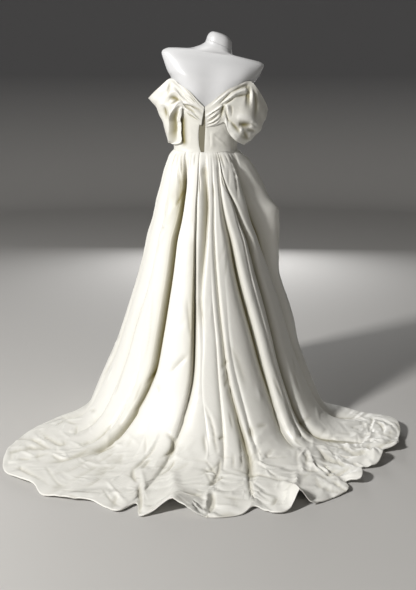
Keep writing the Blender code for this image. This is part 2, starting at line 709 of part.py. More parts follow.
def skirt_grids():
    """The skirt's outer and inner points, all the way round, and which way its columns run."""
    folds = all_folds()
    count = len(folds) - 1
    train_shares = column(TRAIN, "share")[1:]
    rows = np.array([*HANGING_ROWS, TRAIN_START])
    turns, depths = [], []
    lifts, notches, crests, hems, ends = [], [], [], [], []
    for number in range(count + 1):
        here = folds[number]
        there = folds[number + 1] if number < count else here
        for share in crest_shares(number) if number < count else (0,):
            crest = (1 - abs(2 * share - 1) ** CREST_POWER) ** CREST_ROUNDNESS
            ways = []
            for fold in (here, there):
                turn = smooth(rows, TURN_HEIGHTS, fold[7::-1])
                depth = smooth(rows, DEPTH_HEIGHTS, fold[13:8:-1]) / 1000
                ways.append((turn, depth, fold.hem, fold.notch / 1000, fold.runs_out))
            (turn_a, depth_a, hem_a, notch_a, end_a), (turn_b, depth_b, hem_b, notch_b, end_b) = ways
            turns.append(turn_a + (turn_b - turn_a) * share)
            depths.append((depth_a + (depth_b - depth_a) * share) * (1 - crest))
            hems.append(hem_a + (hem_b - hem_a) * share)
            notches.append((notch_a + (notch_b - notch_a) * share) * (1 - crest))
            ends.append(end_a + (end_b - end_a) * share)
            lifts.append(here.lift / 1000 * crest)
            crests.append(crest)
    turns, depths = np.array(turns).T, np.array(depths).T
    lifts, notches, hems, ends = (np.array(values) for values in (lifts, notches, hems, ends))

    base = skirt_base(turns, rows[:, None])
    drop = (waist_height(turns) - WAIST - SEAM / 2) * ramp(rows[:, None], WAIST - FIRST_DROP, WAIST)
    base[..., 2] += drop
    dents = np.zeros_like(turns)
    for hollow in HOLLOWS:
        off = ((turns - hollow.turn) / hollow.half_turn) ** 2
        off = off + ((rows[:, None] - hollow.height) / hollow.half_height) ** 2
        dents += hollow.depth * np.exp(-off)
    depths = depths + dents

    folded = (hems + 180) % 360 - 180
    reach = smooth(folded, column(HEM, "turn"), column(HEM, "reach")) - notches
    hem_points = np.stack([
        reach * np.sin(np.radians(hems)), reach * np.cos(np.radians(hems)), 0 * hems,
    ], axis=-1)
    start = base[-1]
    train = start[None] + (hem_points - start)[None] * train_shares[:, None, None]
    train[..., 2] = column(TRAIN, "crest")[1:, None]
    base = np.concatenate([base, train])
    fade = np.clip(1 - train_shares[:, None] / ends[None], 0, 1) ** 0.7
    depths = np.concatenate([depths, depths[-1:] * fade])

    normals = all_round(grid_normals, base)
    level = np.linalg.norm(normals[..., :2], axis=-1, keepdims=True)
    hanging = len(HANGING_ROWS) - 1
    normals[:hanging, :, 2] = 0
    normals[:hanging, :, :2] /= np.maximum(level[:hanging], 1e-9)
    across = all_round(lambda grid: np.gradient(grid, axis=1), base)
    across[..., 2] = 0
    across /= np.linalg.norm(across, axis=-1, keepdims=True)

    outer = base - normals * depths[..., None]
    rise = ramp(train_shares, HEM_LIFT_START, 1.0)[:, None] * lifts[None]
    outer[len(rows):, :, 2] += rise
    outer[..., 2] = np.maximum(outer[..., 2], CLOTH + SEAM)
    outer[:hanging] = clear_of_body(outer[:hanging], SKIRT_EASE + CLOTH)
    inner = all_round(inside_of, outer, CLOTH)
    inner[0, :, 2] = outer[0, :, 2]
    inner[..., 2] = np.maximum(inner[..., 2], SEAM)
    inner[:hanging] = clear_of_body(inner[:hanging], SKIRT_EASE)
    return outer, inner, across


def skirt():
    outer, inner, across = skirt_grids()
    for name, *folds in PANELS:
        first, last = (sum(len(crest_shares(number)) for number in range(fold)) for fold in folds)
        part = slice(first, last + 1)
        faces = []
        for grid in (outer, inner):
            cut = grid[:, part].copy()
            cut[:, 0] += across[:, part][:, 0] * SEAM / 2
            cut[:, -1] -= across[:, part][:, -1] * SEAM / 2
            faces.append(cut)
        wall(name, *faces, SATIN)


# Putting it together


def centre_on_footprint():
    """Put the origin under the middle of the whole, on the floor."""
    pieces = list(bpy.context.scene.collection.objects)
    corners = np.array([vertex.co[:] for piece in pieces for vertex in piece.data.vertices])
    middle = (corners.min(axis=0) + corners.max(axis=0)) / 2
    for piece in pieces:
        piece.location = (-middle[0], -middle[1], 0)


for leftover in list(bpy.data.objects):
    bpy.data.objects.remove(leftover, do_unlink=True)
dress_form()
bodice()
sleeve("sleeve_left", SLEEVE_LEFT, 1)
sleeve("sleeve_right", SLEEVE_RIGHT, -1)
skirt()
centre_on_footprint()
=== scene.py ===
"""The looks of an off-the-shoulder satin evening gown with a train, on a limbless dress form.

Metres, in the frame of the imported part: +Z up, the gown's front to -Y and its train to +Y, and the wearer's
left at +X. Turns are degrees round the body from centre back, towards the wearer's left.
"""

import math
from typing import NamedTuple

import bpy
import numpy as np
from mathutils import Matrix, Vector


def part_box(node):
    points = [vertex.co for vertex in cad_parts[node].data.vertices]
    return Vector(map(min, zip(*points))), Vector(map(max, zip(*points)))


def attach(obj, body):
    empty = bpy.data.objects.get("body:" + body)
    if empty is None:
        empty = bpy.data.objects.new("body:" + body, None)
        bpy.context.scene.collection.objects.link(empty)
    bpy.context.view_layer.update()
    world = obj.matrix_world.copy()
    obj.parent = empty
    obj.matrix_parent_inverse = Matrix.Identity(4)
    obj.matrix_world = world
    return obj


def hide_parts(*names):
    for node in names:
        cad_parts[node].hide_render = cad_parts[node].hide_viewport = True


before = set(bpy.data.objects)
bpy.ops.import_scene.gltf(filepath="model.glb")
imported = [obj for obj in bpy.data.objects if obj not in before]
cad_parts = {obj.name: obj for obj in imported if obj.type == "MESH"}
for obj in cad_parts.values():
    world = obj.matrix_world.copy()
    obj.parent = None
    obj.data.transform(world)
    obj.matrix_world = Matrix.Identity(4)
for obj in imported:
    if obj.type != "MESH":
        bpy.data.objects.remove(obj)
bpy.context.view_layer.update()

# The dress form: a glass-fibre torso with shoulder stumps, sanded smooth and sprayed white. It leans a little
# to one side, and all that is worn is measured round its upright axis, which stands over the round base.

base_low, base_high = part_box("form_base")
AXIS_X, AXIS_Y = ((base_low + base_high) / 2)[:2]
SQUARENESS = 2.3  # of the body's sections: 2 would be an ellipse
SECTION_STEPS = 6  # rings of points from one section to the next
SPINE_HOLLOW = 0.008
SPINE_SPAN = 13.0
SPINE_START = (1.18, 1.26)  # the heights between which the hollow begins, and those between which it ends
SPINE_END = (1.38, 1.46)
BLADE_SWELL = 0.0055  # the shoulder blades, as softly as a display form has them
BLADE_TURN = 38.0
BLADE_SPAN = 16.0
BLADE_HEIGHT = 1.385
BLADE_RISE = 0.035


class Section(NamedTuple):
    """One section of the body. The shoulders tilt: roll is in degrees, up on the wearer's left."""

    height: float
    centre_x: float
    half_width: float
    back: float
    front: float
    roll: float


def table(kind, *rows):
    """A table of rows of one kind, which names the columns."""
    return [kind(*row) for row in rows]


BODY = table(
    Section,
    (0.86, 0, 0.15, 0.095, 0.095, 0), (0.9, 0, 0.155, 0.105, 0.1, 0),
    (0.98, 0, 0.145, 0.1, 0.095, 0), (1.04, 0, 0.128, 0.092, 0.089, 0),
    (1.1, 0, 0.1215, 0.086, 0.086, 0), (1.16, 0, 0.127, 0.087, 0.094, 0),
    (1.22, -0.004, 0.137, 0.09, 0.114, 0), (1.27, -0.008, 0.147, 0.094, 0.123, 0),
    (1.32, -0.02, 0.152, 0.098, 0.112, 1.5), (1.364, -0.027, 0.161, 0.094, 0.092, 3.5),
    (1.388, -0.027, 0.176, 0.086, 0.08, 5), (1.424, -0.029, 0.192, 0.068, 0.062, 6),
    (1.449, -0.029, 0.199, 0.05, 0.048, 7), (1.462, -0.03, 0.18, 0.044, 0.042, 8.2),
    (1.467, -0.031, 0.148, 0.044, 0.043, 8.8), (1.471, -0.038, 0.099, 0.048, 0.045, 10),
    (1.478, -0.047, 0.07, 0.052, 0.049, 16), (1.487, -0.051, 0.054, 0.051, 0.05, 22),
    (1.498, -0.052, 0.0495, 0.0495, 0.0495, 22),
)
NECK_CAP = table(
    Section,
    (1.4985, -0.0521, 0.0492, 0.0492, 0.0492, 22), (1.514, -0.055, 0.0475, 0.0475, 0.0475, 21),
    (1.527, -0.058, 0.043, 0.0435, 0.0435, 20), (1.537, -0.058, 0.033, 0.035, 0.035, 19),
    (1.542, -0.056, 0.018, 0.02, 0.02, 17),
)


def column(rows, name):
    """One named column of a table, as numbers."""
    return np.array([getattr(row, name) for row in rows], float)


def smooth(at, keys, values):
    """Read a smooth curve through a table's values. The keys rise."""
    keys = np.asarray(keys, float)
    values = np.asarray(values, float)
    slopes = np.gradient(values, keys)
    at = np.clip(at, keys[0], keys[-1])
    left = np.clip(np.searchsorted(keys, at, side="right") - 1, 0, len(keys) - 2)
    gap = keys[left + 1] - keys[left]
    t = (at - keys[left]) / gap
    start = (2 * t**3 - 3 * t**2 + 1) * values[left] + (t**3 - 2 * t**2 + t) * gap * slopes[left]
    end = (3 * t**2 - 2 * t**3) * values[left + 1] + (t**3 - t**2) * gap * slopes[left + 1]
    return start + end


def read_row(rows, at, keys=None):
    """A row read smoothly from a table, at a value of its first column or of the keys."""
    kind = type(rows[0])
    if keys is None:
        keys = column(rows, kind._fields[0])
    return kind(*(smooth(at, keys, column(rows, name)) for name in kind._fields))


def ramp(value, start, end):
    """0 before start, 1 after end, and a soft step between."""
    t = np.clip((value - start) / (end - start), 0, 1)
    return t * t * (3 - 2 * t)


def window(value, start, end):
    """1 between two soft steps, each given by its two ends, and 0 outside them."""
    return ramp(value, *start) * ramp(-value, -end[1], -end[0])


def bell(off, span=1.0):
    """A soft swell: 1 in the middle, about a third at the span and 0 far away."""
    return np.exp(-((off / span) ** 2))


def signed(turn):
    """The same turn, from -180 to 180 degrees."""
    return (turn + 180) % 360 - 180


def signed_power(value, power):
    return np.sign(value) * np.abs(value) ** power


def section_ring(at, turn, out=0.0):
    """Points on a section of the body, at a turn in degrees and a distance outside it."""
    across = signed_power(np.sin(np.radians(turn)), 2 / SQUARENESS)
    along = signed_power(np.cos(np.radians(turn)), 2 / SQUARENESS)
    x = (at.half_width + out) * across
    y = (np.where(along > 0, at.back, at.front) + out) * along
    return np.stack([at.centre_x + x, y, at.height + x * np.tan(np.radians(at.roll))], axis=-1)


def put(name, data, x=AXIS_X, y=AXIS_Y, z=0.0):
    """Put a mesh, a light or a camera in the scene."""
    made = bpy.data.objects.new(name, data)
    made.location = (x, y, z)
    bpy.context.scene.collection.objects.link(made)
    return made


def closed_form(name, sections, columns):
    """A smooth closed body through a table's sections, with a fan over each end."""
    rungs = np.linspace(0, len(sections) - 1, (len(sections) - 1) * SECTION_STEPS + 1)[:, None]
    turns = (np.arange(columns) * 360 / columns)[None]
    rings = section_ring(read_row(sections, rungs, range(len(sections))), turns)
    heights = rings[..., 2]
    from_spine = signed(turns)
    rings[..., 1] -= SPINE_HOLLOW * bell(from_spine, SPINE_SPAN) * window(heights, SPINE_START, SPINE_END)
    blades = bell(np.abs(from_spine) - BLADE_TURN, BLADE_SPAN)
    rings[..., 1] += BLADE_SWELL * blades * bell(heights - BLADE_HEIGHT, BLADE_RISE)
    points = np.concatenate([rings.reshape(-1, 3), [rings[0].mean(axis=0)], [rings[-1].mean(axis=0)]])
    here = np.arange(rings.shape[0] * columns).reshape(-1, columns)
    there = np.roll(here, -1, axis=1)
    sides = np.stack([here[1:].ravel(), there[1:].ravel(), there[:-1].ravel(), here[:-1].ravel()], 1)
    ends = [(len(points) - 2, here[0][i], there[0][i]) for i in range(columns)]
    ends += [(len(points) - 1, there[-1][i], here[-1][i]) for i in range(columns)]
    mesh = bpy.data.meshes.new(name)
    mesh.from_pydata(points.tolist(), [], sides.tolist() + ends)
    mesh.shade_smooth()
    return put(name, mesh)


def new_finish(name, colour, roughness):
    """A material, with a function that sets its shader and one that adds a node and gives one of its outputs.

    Both take settings and sockets by name, with _ for a space. Another node's output is linked to the socket.
    """
    made = bpy.data.materials.new(name)
    made.use_nodes = True
    tree = made.node_tree

    def feed(node, **values):
        for key, value in values.items():
            socket = key.replace("_", " ")
            if isinstance(value, bpy.types.NodeSocket):
                tree.links.new(value, node.inputs[socket])
            elif socket in node.inputs:
                node.inputs[socket].default_value = value
            else:
                setattr(node, key, value)

    def finish(**values):
        feed(tree.nodes["Principled BSDF"], **values)

    def add(kind, output, *sources, **values):
        node = tree.nodes.new("ShaderNode" + kind)
        feed(node, **values)
        for place, source in enumerate(sources):
            tree.links.new(source, node.inputs[place])
        return node.outputs[output]

    finish(Base_Color=(*colour, 1), Roughness=roughness)
    return made, finish, add


def white_gloss():
    """Sprayed paint: bright, with the faintest orange peel and dusty, duller patches."""
    made, finish, add = new_finish("white_gloss", (0.71, 0.715, 0.73), 0.34)
    where = add("TexCoord", "Object")
    peel = add("TexNoise", "Fac", Vector=where, Scale=420.0, Detail=2.0)
    dust = add("TexNoise", "Fac", Vector=where, Scale=9.0, Detail=5.0, Roughness=0.6)
    finish(
        Normal=add("Bump", "Normal", Height=peel, Strength=0.05, Distance=0.0002),
        Roughness=add("MapRange", "Result", Value=dust, To_Min=0.30, To_Max=0.46),
        Coat_Weight=0.25,
        Coat_Roughness=0.18,
    )
    return made


torso = closed_form("torso", BODY, 144)
neck_cap = closed_form("neck_cap", NECK_CAP, 96)
white = white_gloss()
for piece, node in ((torso, "form_torso"), (neck_cap, "form_neck_cap")):
    piece.data.materials.append(white)
    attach(piece, "root")
    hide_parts(node)


# The pole and the round base under it: steel tube and plate, brushed round their own axis. The skirt hides
# them from everywhere but below.


def turned_steel():
    made, finish, add = new_finish("turned_steel", (0.60, 0.60, 0.61), 0.34)
    rings = add("Mapping", "Vector", Vector=add("TexCoord", "Object"), Scale=(6, 6, 900))
    lines = add("TexNoise", "Fac", Vector=rings, Scale=1.0, Detail=3.0)
    finish(Metallic=1.0, Normal=add("Bump", "Normal", Height=lines, Strength=0.12, Distance=0.0002))
    return made


steel = turned_steel()
for node in ("form_pole", "form_base"):
    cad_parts[node].data.materials.clear()
    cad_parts[node].data.materials.append(steel)


# The bodice: five panels of duchess satin over an underlining, seamed at the sides and shaped to the form. At
# centre back the right edge is rolled and the left is turned in, and a strip of the same cloth runs behind
# the gap between them, darkened with painted shade.

CLOTH = 0.0012
CRUMPLED = 0.3
TINY = 1e-9
SHARP_BEND = 60.0  # in degrees: a cloth's rim keeps its edge, and its folds are smooth
WAIST = 1.100
WAIST_DIP = 0.006
BODICE_EASE = 0.0024
WALL = 0.0020  # of the solids that these panels stand for
RUNGS = range(len(BODY))
LADDER = np.linspace(0, len(BODY) - 1, 800)
LADDER_HEIGHTS = smooth(LADDER, RUNGS, column(BODY, "height"))
BODICE_RADIUS = 0.12
BODICE_ROWS = 80
BACK_SEAM = 62.0
FRONT_SEAM = 128.0
SEAM_TUCK = 0.0011  # how far a seam sinks, and how far beside it
SEAM_REACH = 0.0022
WAIST_RIDGE = 0.0010  # the seam allowances that lie under the cloth along the waist
WAIST_RIDGE_REACH = 0.0035
EDGE_ROLL = 0.0035
EDGE_ROLL_TURN = -8.0
EDGE_ROLL_SPAN = 5.0
EDGE_ROLL_START = (1.10, 1.13)
EDGE_ROLL_END = (1.160, 1.185)
TOP_SHADE = 0.12  # the bodice and sleeves lie less in the light than the skirt
GAP_TURN = 38.0  # the shaded gap between the left sleeve's turned edge and the bodice
GAP_SPAN = 7.0
GAP_SHADE = 0.85
GAP_START = (1.112, 1.135)
GAP_END = (1.215, 1.250)
PLACKET_TOP = 1.250
PLACKET_BELOW_WAIST = 0.005
PLACKET_ROWS = 60
PLACKET_COLUMNS = 24
PLACKET_OUT = 0.0018
PLACKET_CLOTH = 0.0008
PLACKET_LAP = 0.004
PLACKET_SHADE = 0.75


class Opening(NamedTuple):
    """The centre-back closing at a height: where the two back edges stop, in metres across."""

    height: float
    left_edge: float
    right_edge: float


CLOSING = table(
    Opening,
    (1.09, 0.0165, 0.0045), (1.12, 0.024, 0.0035), (1.15, 0.0262, 0.002),
    (1.2, 0.022, -0.0003), (1.235, 0.0095, -0.0005), (1.268, 0.0042, 0.0012),
)


class TopEdge(NamedTuple):
    """The bodice's top edge, under the sleeves' bands."""

    turn: float
    height: float


BODICE_TOP = table(
    TopEdge,
    (-180, 1.283), (-155, 1.312), (-120, 1.322), (-90, 1.305), (-50, 1.3),
    (-20, 1.275), (0, 1.256), (20, 1.275), (50, 1.3), (90, 1.305),
    (120, 1.322), (155, 1.312), (180, 1.283),
)


class Crease(NamedTuple):
    """A soft ridge in a piece of cloth, or a trough if its height is below 0, along a bowed line.

    Its ends are places on the piece: across it, and down or along it. The half-width and the height are
    in millimetres. The bow is how far its middle is moved across.
    """

    start_across: float
    start_along: float
    end_across: float
    end_along: float
    half_width: float
    height: float
    bow: float = 0.0


BODICE_CREASES = table(
    Crease,
    (-10, 1.164, -36.5, 1.118, 4, 2, 2), (-5.2, 1.172, -6, 1.112, 3, -2, -0.6),
    (-11.2, 1.175, -25.8, 1.164, 4, 1.2, 2.6), (-25.5, 1.194, -71, 1.126, 8, -1.8, 7.5),
    (23.8, 1.194, 25.5, 1.114, 6, 0.9, -2.3), (50, 1.113, 9, 1.108, 5, -1, 14.1),
    (0.8, 1.244, -1, 1.119, 4, 1.6, -0.5), (-30, 1.195, -46, 1.16, 6, -1.2, -2),
    (-44, 1.205, -58, 1.14, 7, 1), (-14, 1.12, -50, 1.112, 5, -1),
    (24, 1.19, 50, 1.15, 7, 0.8, 3), (30, 1.12, 58, 1.112, 5, -0.9),
    (78, 1.25, 96, 1.13, 8, -1, 4), (-76, 1.26, -98, 1.128, 8, -1, -4),
    (104, 1.118, 124, 1.112, 5, -0.9), (-84, 1.116, -122, 1.11, 5, -0.9),
    (150, 1.25, 163, 1.13, 8, -0.8), (-150, 1.24, -166, 1.13, 8, -0.8),
    (140, 1.12, 178, 1.112, 5, -0.9), (-136, 1.12, -176, 1.113, 5, -0.8),
)
CREASE_SAMPLES = 20
CREASE_EDGE = 0.0010  # how round a crease's top is
CREASE_FALL = 1.3  # the powers by which its sides and its ends fall away
CREASE_TAPER = 0.6
CREASE_END = 0.02  # the share of its length at which it has tapered most
CREASE_REACH = 4  # half-widths, past which it isn't felt


def body_at(height):
    """The body's section at a height."""
    return read_row(BODY, np.interp(height, LADDER_HEIGHTS, LADDER), RUNGS)


def body(turn, height, out=0.0):
    """A point on the body at a height, or out from it."""
    return section_ring(body_at(height), turn, out)


def turn_across(x, height):
    """The turn, near centre back, at which the body's surface has this x."""
    at = body_at(height)
    share = signed_power((x - at.centre_x) / at.half_width, SQUARENESS / 2)
    return np.degrees(np.arcsin(share))


def waist_height(turn):
    """The waist seam dips towards centre back."""
    return WAIST - WAIST_DIP * np.maximum(np.cos(np.radians(turn)), 0) ** 2


def closing_turn(side):
    """A function that gives the turn of one of the closing's edges at a height."""
    return lambda height: turn_across(getattr(read_row(CLOSING, height), side), height)


def seam_turn(turn):
    """A function that gives the turn of an upright seam at a height."""
    return lambda height: turn + 0 * height


def relief(across, along, creases, unit_across):
    """How far the creases lift or sink the cloth at each place. unit_across gives the metres in one unit
    across, at a place."""
    total = np.zeros(across.shape)
    step = np.linspace(0, 1, CREASE_SAMPLES)
    for crease in creases:
        line_across = crease.start_across + (crease.end_across - crease.start_across) * step
        line_across = line_across + crease.bow * np.sin(math.pi * step)
        line_along = crease.start_along + (crease.end_along - crease.start_along) * step
        reach = crease.half_width / 1000
        past = CREASE_REACH * reach
        scale = unit_across((line_across.min() + line_across.max()) / 2, line_along.mean())
        near = (across - line_across.min()) * scale > -past
        near &= (across - line_across.max()) * scale < past
        near &= (along > line_along.min() - past) & (along < line_along.max() + past)
        if not near.any():
            continue
        distance = np.hypot((across[near][:, None] - line_across) * scale, along[near][:, None] - line_along)
        nearest = distance.argmin(axis=1)
        distance = distance.min(axis=1)
        taper = np.sin(math.pi * np.clip(step[nearest], CREASE_END, 1 - CREASE_END)) ** CREASE_TAPER
        fall = (np.sqrt(distance**2 + CREASE_EDGE**2) - CREASE_EDGE) / reach
        total[near] += crease.height / 1000 * np.exp(-(fall**CREASE_FALL)) * taper
    return total


def grid_normals(grid):
    """Outward unit normals of a grid whose rows run down the body and whose columns turn to its left."""
    normals = np.cross(np.gradient(grid, axis=1), np.gradient(grid, axis=0))
    return normals / np.maximum(np.linalg.norm(normals, axis=-1, keepdims=True), TINY)


def running_length(grid, axis):
    """How far each point is along its row or column, in metres."""
    steps = np.linalg.norm(np.diff(grid, axis=axis), axis=-1)
    start = np.zeros_like(np.take(steps, [0], axis=axis))
    return np.cumsum(np.concatenate([start, steps], axis=axis), axis=axis)


def cloth_shell(name, outer, depth, inner=None, thickness=CLOTH, crumpled=CRUMPLED):
    """A thin closed shell from a grid of outer points. Its texture places are metres of cloth. From 0 to 1,
    depth is each point's painted shade, for folds and places out of the light, and crumpled how much the
    cloth was handled."""
    rows, columns = outer.shape[:2]
    if inner is None:
        inner = outer - grid_normals(outer) * thickness
    points = np.concatenate([outer.reshape(-1, 3), inner.reshape(-1, 3)]).astype(np.float32)
    here = np.arange(rows * columns).reshape(rows, columns)
    face = np.stack([here[:-1, :-1], here[1:, :-1], here[1:, 1:], here[:-1, 1:]], -1).reshape(-1, 4)
    back = rows * columns
    rims = []
    for line, flip in ((here[0], False), (here[:, -1], False), (here[-1], True), (here[:, 0], True)):
        rim = np.stack([line[:-1], line[1:], line[1:] + back, line[:-1] + back], 1)
        rims.append(rim[:, ::-1] if flip else rim)
    faces = np.concatenate([face, face[:, ::-1] + back, *rims])
    mesh = bpy.data.meshes.new(name)
    mesh.vertices.add(len(points))
    mesh.vertices.foreach_set("co", points.ravel())
    mesh.loops.add(faces.size)
    mesh.loops.foreach_set("vertex_index", faces.ravel().astype(np.int32))
    mesh.polygons.add(len(faces))
    mesh.polygons.foreach_set("loop_start", np.arange(0, faces.size, 4, dtype=np.int32))
    mesh.update(calc_edges=True)
    mesh.validate()
    mesh.shade_smooth()
    mesh.set_sharp_from_angle(angle=math.radians(SHARP_BEND))
    across = running_length(outer, 1)
    along = running_length(outer, 0)
    places = np.stack([across - across[:, columns // 2][:, None], along], -1).reshape(-1, 2)
    places = np.concatenate([places, places])[faces.ravel()]
    layer = mesh.uv_layers.new(name="cloth")
    layer.data.foreach_set("uv", places.astype(np.float32).ravel())
    for layer_name, values in (("painted_shade", depth), ("crumpled", crumpled)):
        values = np.broadcast_to(values, (rows, columns)).ravel()
        attribute = mesh.attributes.new(layer_name, "FLOAT", "POINT")
        attribute.data.foreach_set("value", np.concatenate([values, values]).astype(np.float32))
    piece = put(name, mesh)
    piece.data.materials.append(satin)
    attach(piece, "root")
    return piece


def woven_satin(name, dull, lit, deep):
    """Duchess satin with long floats that run down the cloth, a soft sheen and faint handling marks. Painted
    shade, warm and yellow, is mixed into its colour where the cloth lies deep in a fold or out of the light."""
    made, finish, add = new_finish(name, lit, 0.40)
    cloth = add("UVMap", "UV", uv_map="cloth")
    tone = add("TexNoise", "Fac", Vector=cloth, Scale=7.0, Detail=3.0)
    shown = add("Mix", "Result", data_type="RGBA", Factor=tone, A=(*dull, 1), B=(*lit, 1))
    # Painted shade: the shell's shade attribute mixes the last colour into the base colour.
    painted_shade = add("Attribute", "Fac", attribute_name="painted_shade")
    floats = add("Mapping", "Vector", Vector=cloth, Scale=(1600, 90, 1))
    threads = add("TexNoise", "Fac", Vector=floats, Scale=1.0, Detail=2.0)
    handled = add("TexNoise", "Fac", Vector=cloth, Scale=26.0, Detail=4.0, Distortion=0.6)
    sharp = add("TexNoise", "Fac", noise_type="RIDGED_MULTIFRACTAL", Vector=cloth, Scale=9.0, Detail=3.5,
                Distortion=0.9)
    crumpled = add("Attribute", "Fac", attribute_name="crumpled")
    crumple = add("Math", "Value", sharp, crumpled, operation="MULTIPLY")
    fine = add("Bump", "Normal", Height=threads, Strength=0.16, Distance=0.00015)
    broad = add("Bump", "Normal", Height=handled, Normal=fine, Strength=0.5, Distance=0.0018)
    finish(
        Base_Color=add("Mix", "Result", data_type="RGBA", Factor=painted_shade, A=shown, B=(*deep, 1)),
        Normal=add("Bump", "Normal", Height=crumple, Normal=broad, Strength=1.0, Distance=0.014),
        Roughness=add("MapRange", "Result", Value=handled, To_Min=0.36, To_Max=0.52),
        Sheen_Weight=0.22,
        Sheen_Roughness=0.35,
        Sheen_Tint=(1.0, 0.97, 0.90, 1),
        Specular_IOR_Level=0.5,
    )
    return made


# The last colour of each satin is its painted shade for deep folds. The placket's satin is a darker copy of
# the ivory one: painted shade for the recess behind the closing.
satin = woven_satin("ivory_satin", (0.875, 0.87, 0.825), (0.92, 0.91, 0.865), (0.215, 0.18, 0.045))
shaded_satin = woven_satin("placket_shaded_satin", (0.30, 0.285, 0.235), (0.35, 0.335, 0.28), (0.20, 0.18, 0.12))


def bodice_across(*place):
    """Metres for one degree round the bodice, at any place."""
    return math.radians(1) * BODICE_RADIUS


def bodice_panel(name, first_edge, last_edge, columns):
    """A panel between two edges. Each is a function that gives its turn at a height."""
    share = np.linspace(0, 1, columns)[None]
    down = np.linspace(1, 0, BODICE_ROWS)[:, None]
    turns = first_edge(WAIST) + (last_edge(WAIST) - first_edge(WAIST)) * share
    lowest = waist_height(turns)
    heights = lowest + (read_row(BODICE_TOP, signed(turns)).height - lowest) * down
    first, last = first_edge(heights[:, :1]), last_edge(heights[:, -1:])
    turns = first + (last - first) * share
    from_seam = np.minimum(share, 1 - share) * (last - first).mean() * bodice_across()
    out = BODICE_EASE + WALL - SEAM_TUCK * np.exp(-np.abs(from_seam) / SEAM_REACH)
    out = out + WAIST_RIDGE * bell(heights - lowest, WAIST_RIDGE_REACH)
    edge_roll = EDGE_ROLL * bell(turns - EDGE_ROLL_TURN, EDGE_ROLL_SPAN)
    out += edge_roll * window(heights, EDGE_ROLL_START, EDGE_ROLL_END)
    turned = signed(turns)
    out += relief(turned, heights, BODICE_CREASES, bodice_across)
    shade = TOP_SHADE + GAP_SHADE * bell(turned - GAP_TURN, GAP_SPAN) * window(heights, GAP_START, GAP_END)
    return cloth_shell(name, body(turns, heights, out), shade)


class BodiceCut(NamedTuple):
    """A panel of the bodice: its edges, its columns of points, and the width and length it is cut to."""

    node: str
    first_edge: object
    last_edge: object
    columns: int
    width: float
    length: float


BODICE = table(
    BodiceCut,
    ("bodice_back_left", closing_turn("left_edge"), seam_turn(BACK_SEAM), 70, 0.135, 0.215),
    ("bodice_side_left", seam_turn(BACK_SEAM), seam_turn(FRONT_SEAM), 70, 0.155, 0.235),
    ("bodice_front", seam_turn(FRONT_SEAM), seam_turn(360 - FRONT_SEAM), 120, 0.29, 0.235),
    ("bodice_side_right", seam_turn(-FRONT_SEAM), seam_turn(-BACK_SEAM), 70, 0.155, 0.235),
    ("bodice_back_right", seam_turn(-BACK_SEAM), closing_turn("right_edge"), 90, 0.155, 0.215),
)
for cut in BODICE:
    panel = bodice_panel("satin_" + cut.node, cut.first_edge, cut.last_edge, cut.columns)
    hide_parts(cut.node)


def placket_strip():
    """The strip behind the closing, a little wider than the gap between its edges."""
    heights = np.linspace(PLACKET_TOP, WAIST - PLACKET_BELOW_WAIST, PLACKET_ROWS)[:, None]
    closing = read_row(CLOSING, heights)
    left = closing.left_edge + PLACKET_LAP
    right = closing.right_edge - PLACKET_LAP
    turns = turn_across(right + (left - right) * np.linspace(0, 1, PLACKET_COLUMNS)[None], heights)
    outer = body(turns, heights, PLACKET_OUT)
    return cloth_shell("satin_placket", outer, PLACKET_SHADE, thickness=PLACKET_CLOTH)


placket = placket_strip()
# Painted shade: the strip gets the darker copy of the satin, for the shade in the recess.
placket.data.materials.clear()
placket.data.materials.append(shaded_satin)
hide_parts("back_placket")


# The draped sleeves: each is one wide band of satin, gathered at centre back, taken off the shoulder round
# the upper arm and gathered again at centre front. The left one stands away in an arch with its edge rolled
# under. The right one pouches over a broad turned hem.

DRAPE_EASE = BODICE_EASE + WALL + 0.0006
EDGE_EASE = BODICE_EASE + WALL + CLOTH + 0.0008


class Station(NamedTuple):
    """One place along a sleeve's band, from centre back to centre front.

    Its upper and lower edges are each a turn, a height on the body and a distance out from it. The
    belly is how far the band's middle swells beyond the straight line between them, and the gathers
    are the height of the folds along it. The last four columns turn the lower edge in: the change of
    turn, height and distance out from that edge to the cloth's end, and how far the cloth sinks between
    the two. Lengths are in metres.
    """

    top_turn: float
    top_height: float
    top_out: float
    low_turn: float
    low_height: float
    low_out: float
    belly: float
    gathers: float
    in_turn: float = 0.0
    in_height: float = 0.0
    in_out: float = -0.002
    sink: float = 0.0


SLEEVE_LEFT = table(
    Station,
    (3.1, 1.266, 0.007, 5.5, 1.197, 0.007, 0.002, 0.003),
    (26, 1.318, 0.008, 15, 1.211, 0.008, 0.004, 0.004),
    (45, 1.344, 0.01, 27, 1.243, 0.011, 0.006, 0.004),
    (62, 1.362, 0.021, 36, 1.272, 0.018, 0.008, 0.003, -2, -0.01, -0.006, 0.002),
    (74, 1.328, 0.06, 46.5, 1.256, 0.027, 0.002, 0.002, -11, -0.018, -0.013, 0.012),
    (89, 1.296, 0.089, 57, 1.217, 0.032, -0.004, 0.002, -19, -0.004, -0.018, 0.02),
    (100, 1.306, 0.08, 63, 1.172, 0.032, 0.006, 0.003, -24, 0.002, -0.018, 0.016),
    (112, 1.324, 0.052, 76, 1.132, 0.028, 0.01, 0.004, -32, -0.003, -0.014, 0.006),
    (124, 1.348, 0.022, 108, 1.135, 0.02, 0.01, 0.006, -16, 0, -0.006, 0),
    (150, 1.33, 0.008, 150, 1.225, 0.009, 0.006, 0.007),
    (179.97, 1.298, 0.007, 179.97, 1.2, 0.007, 0.003, 0.004),
)
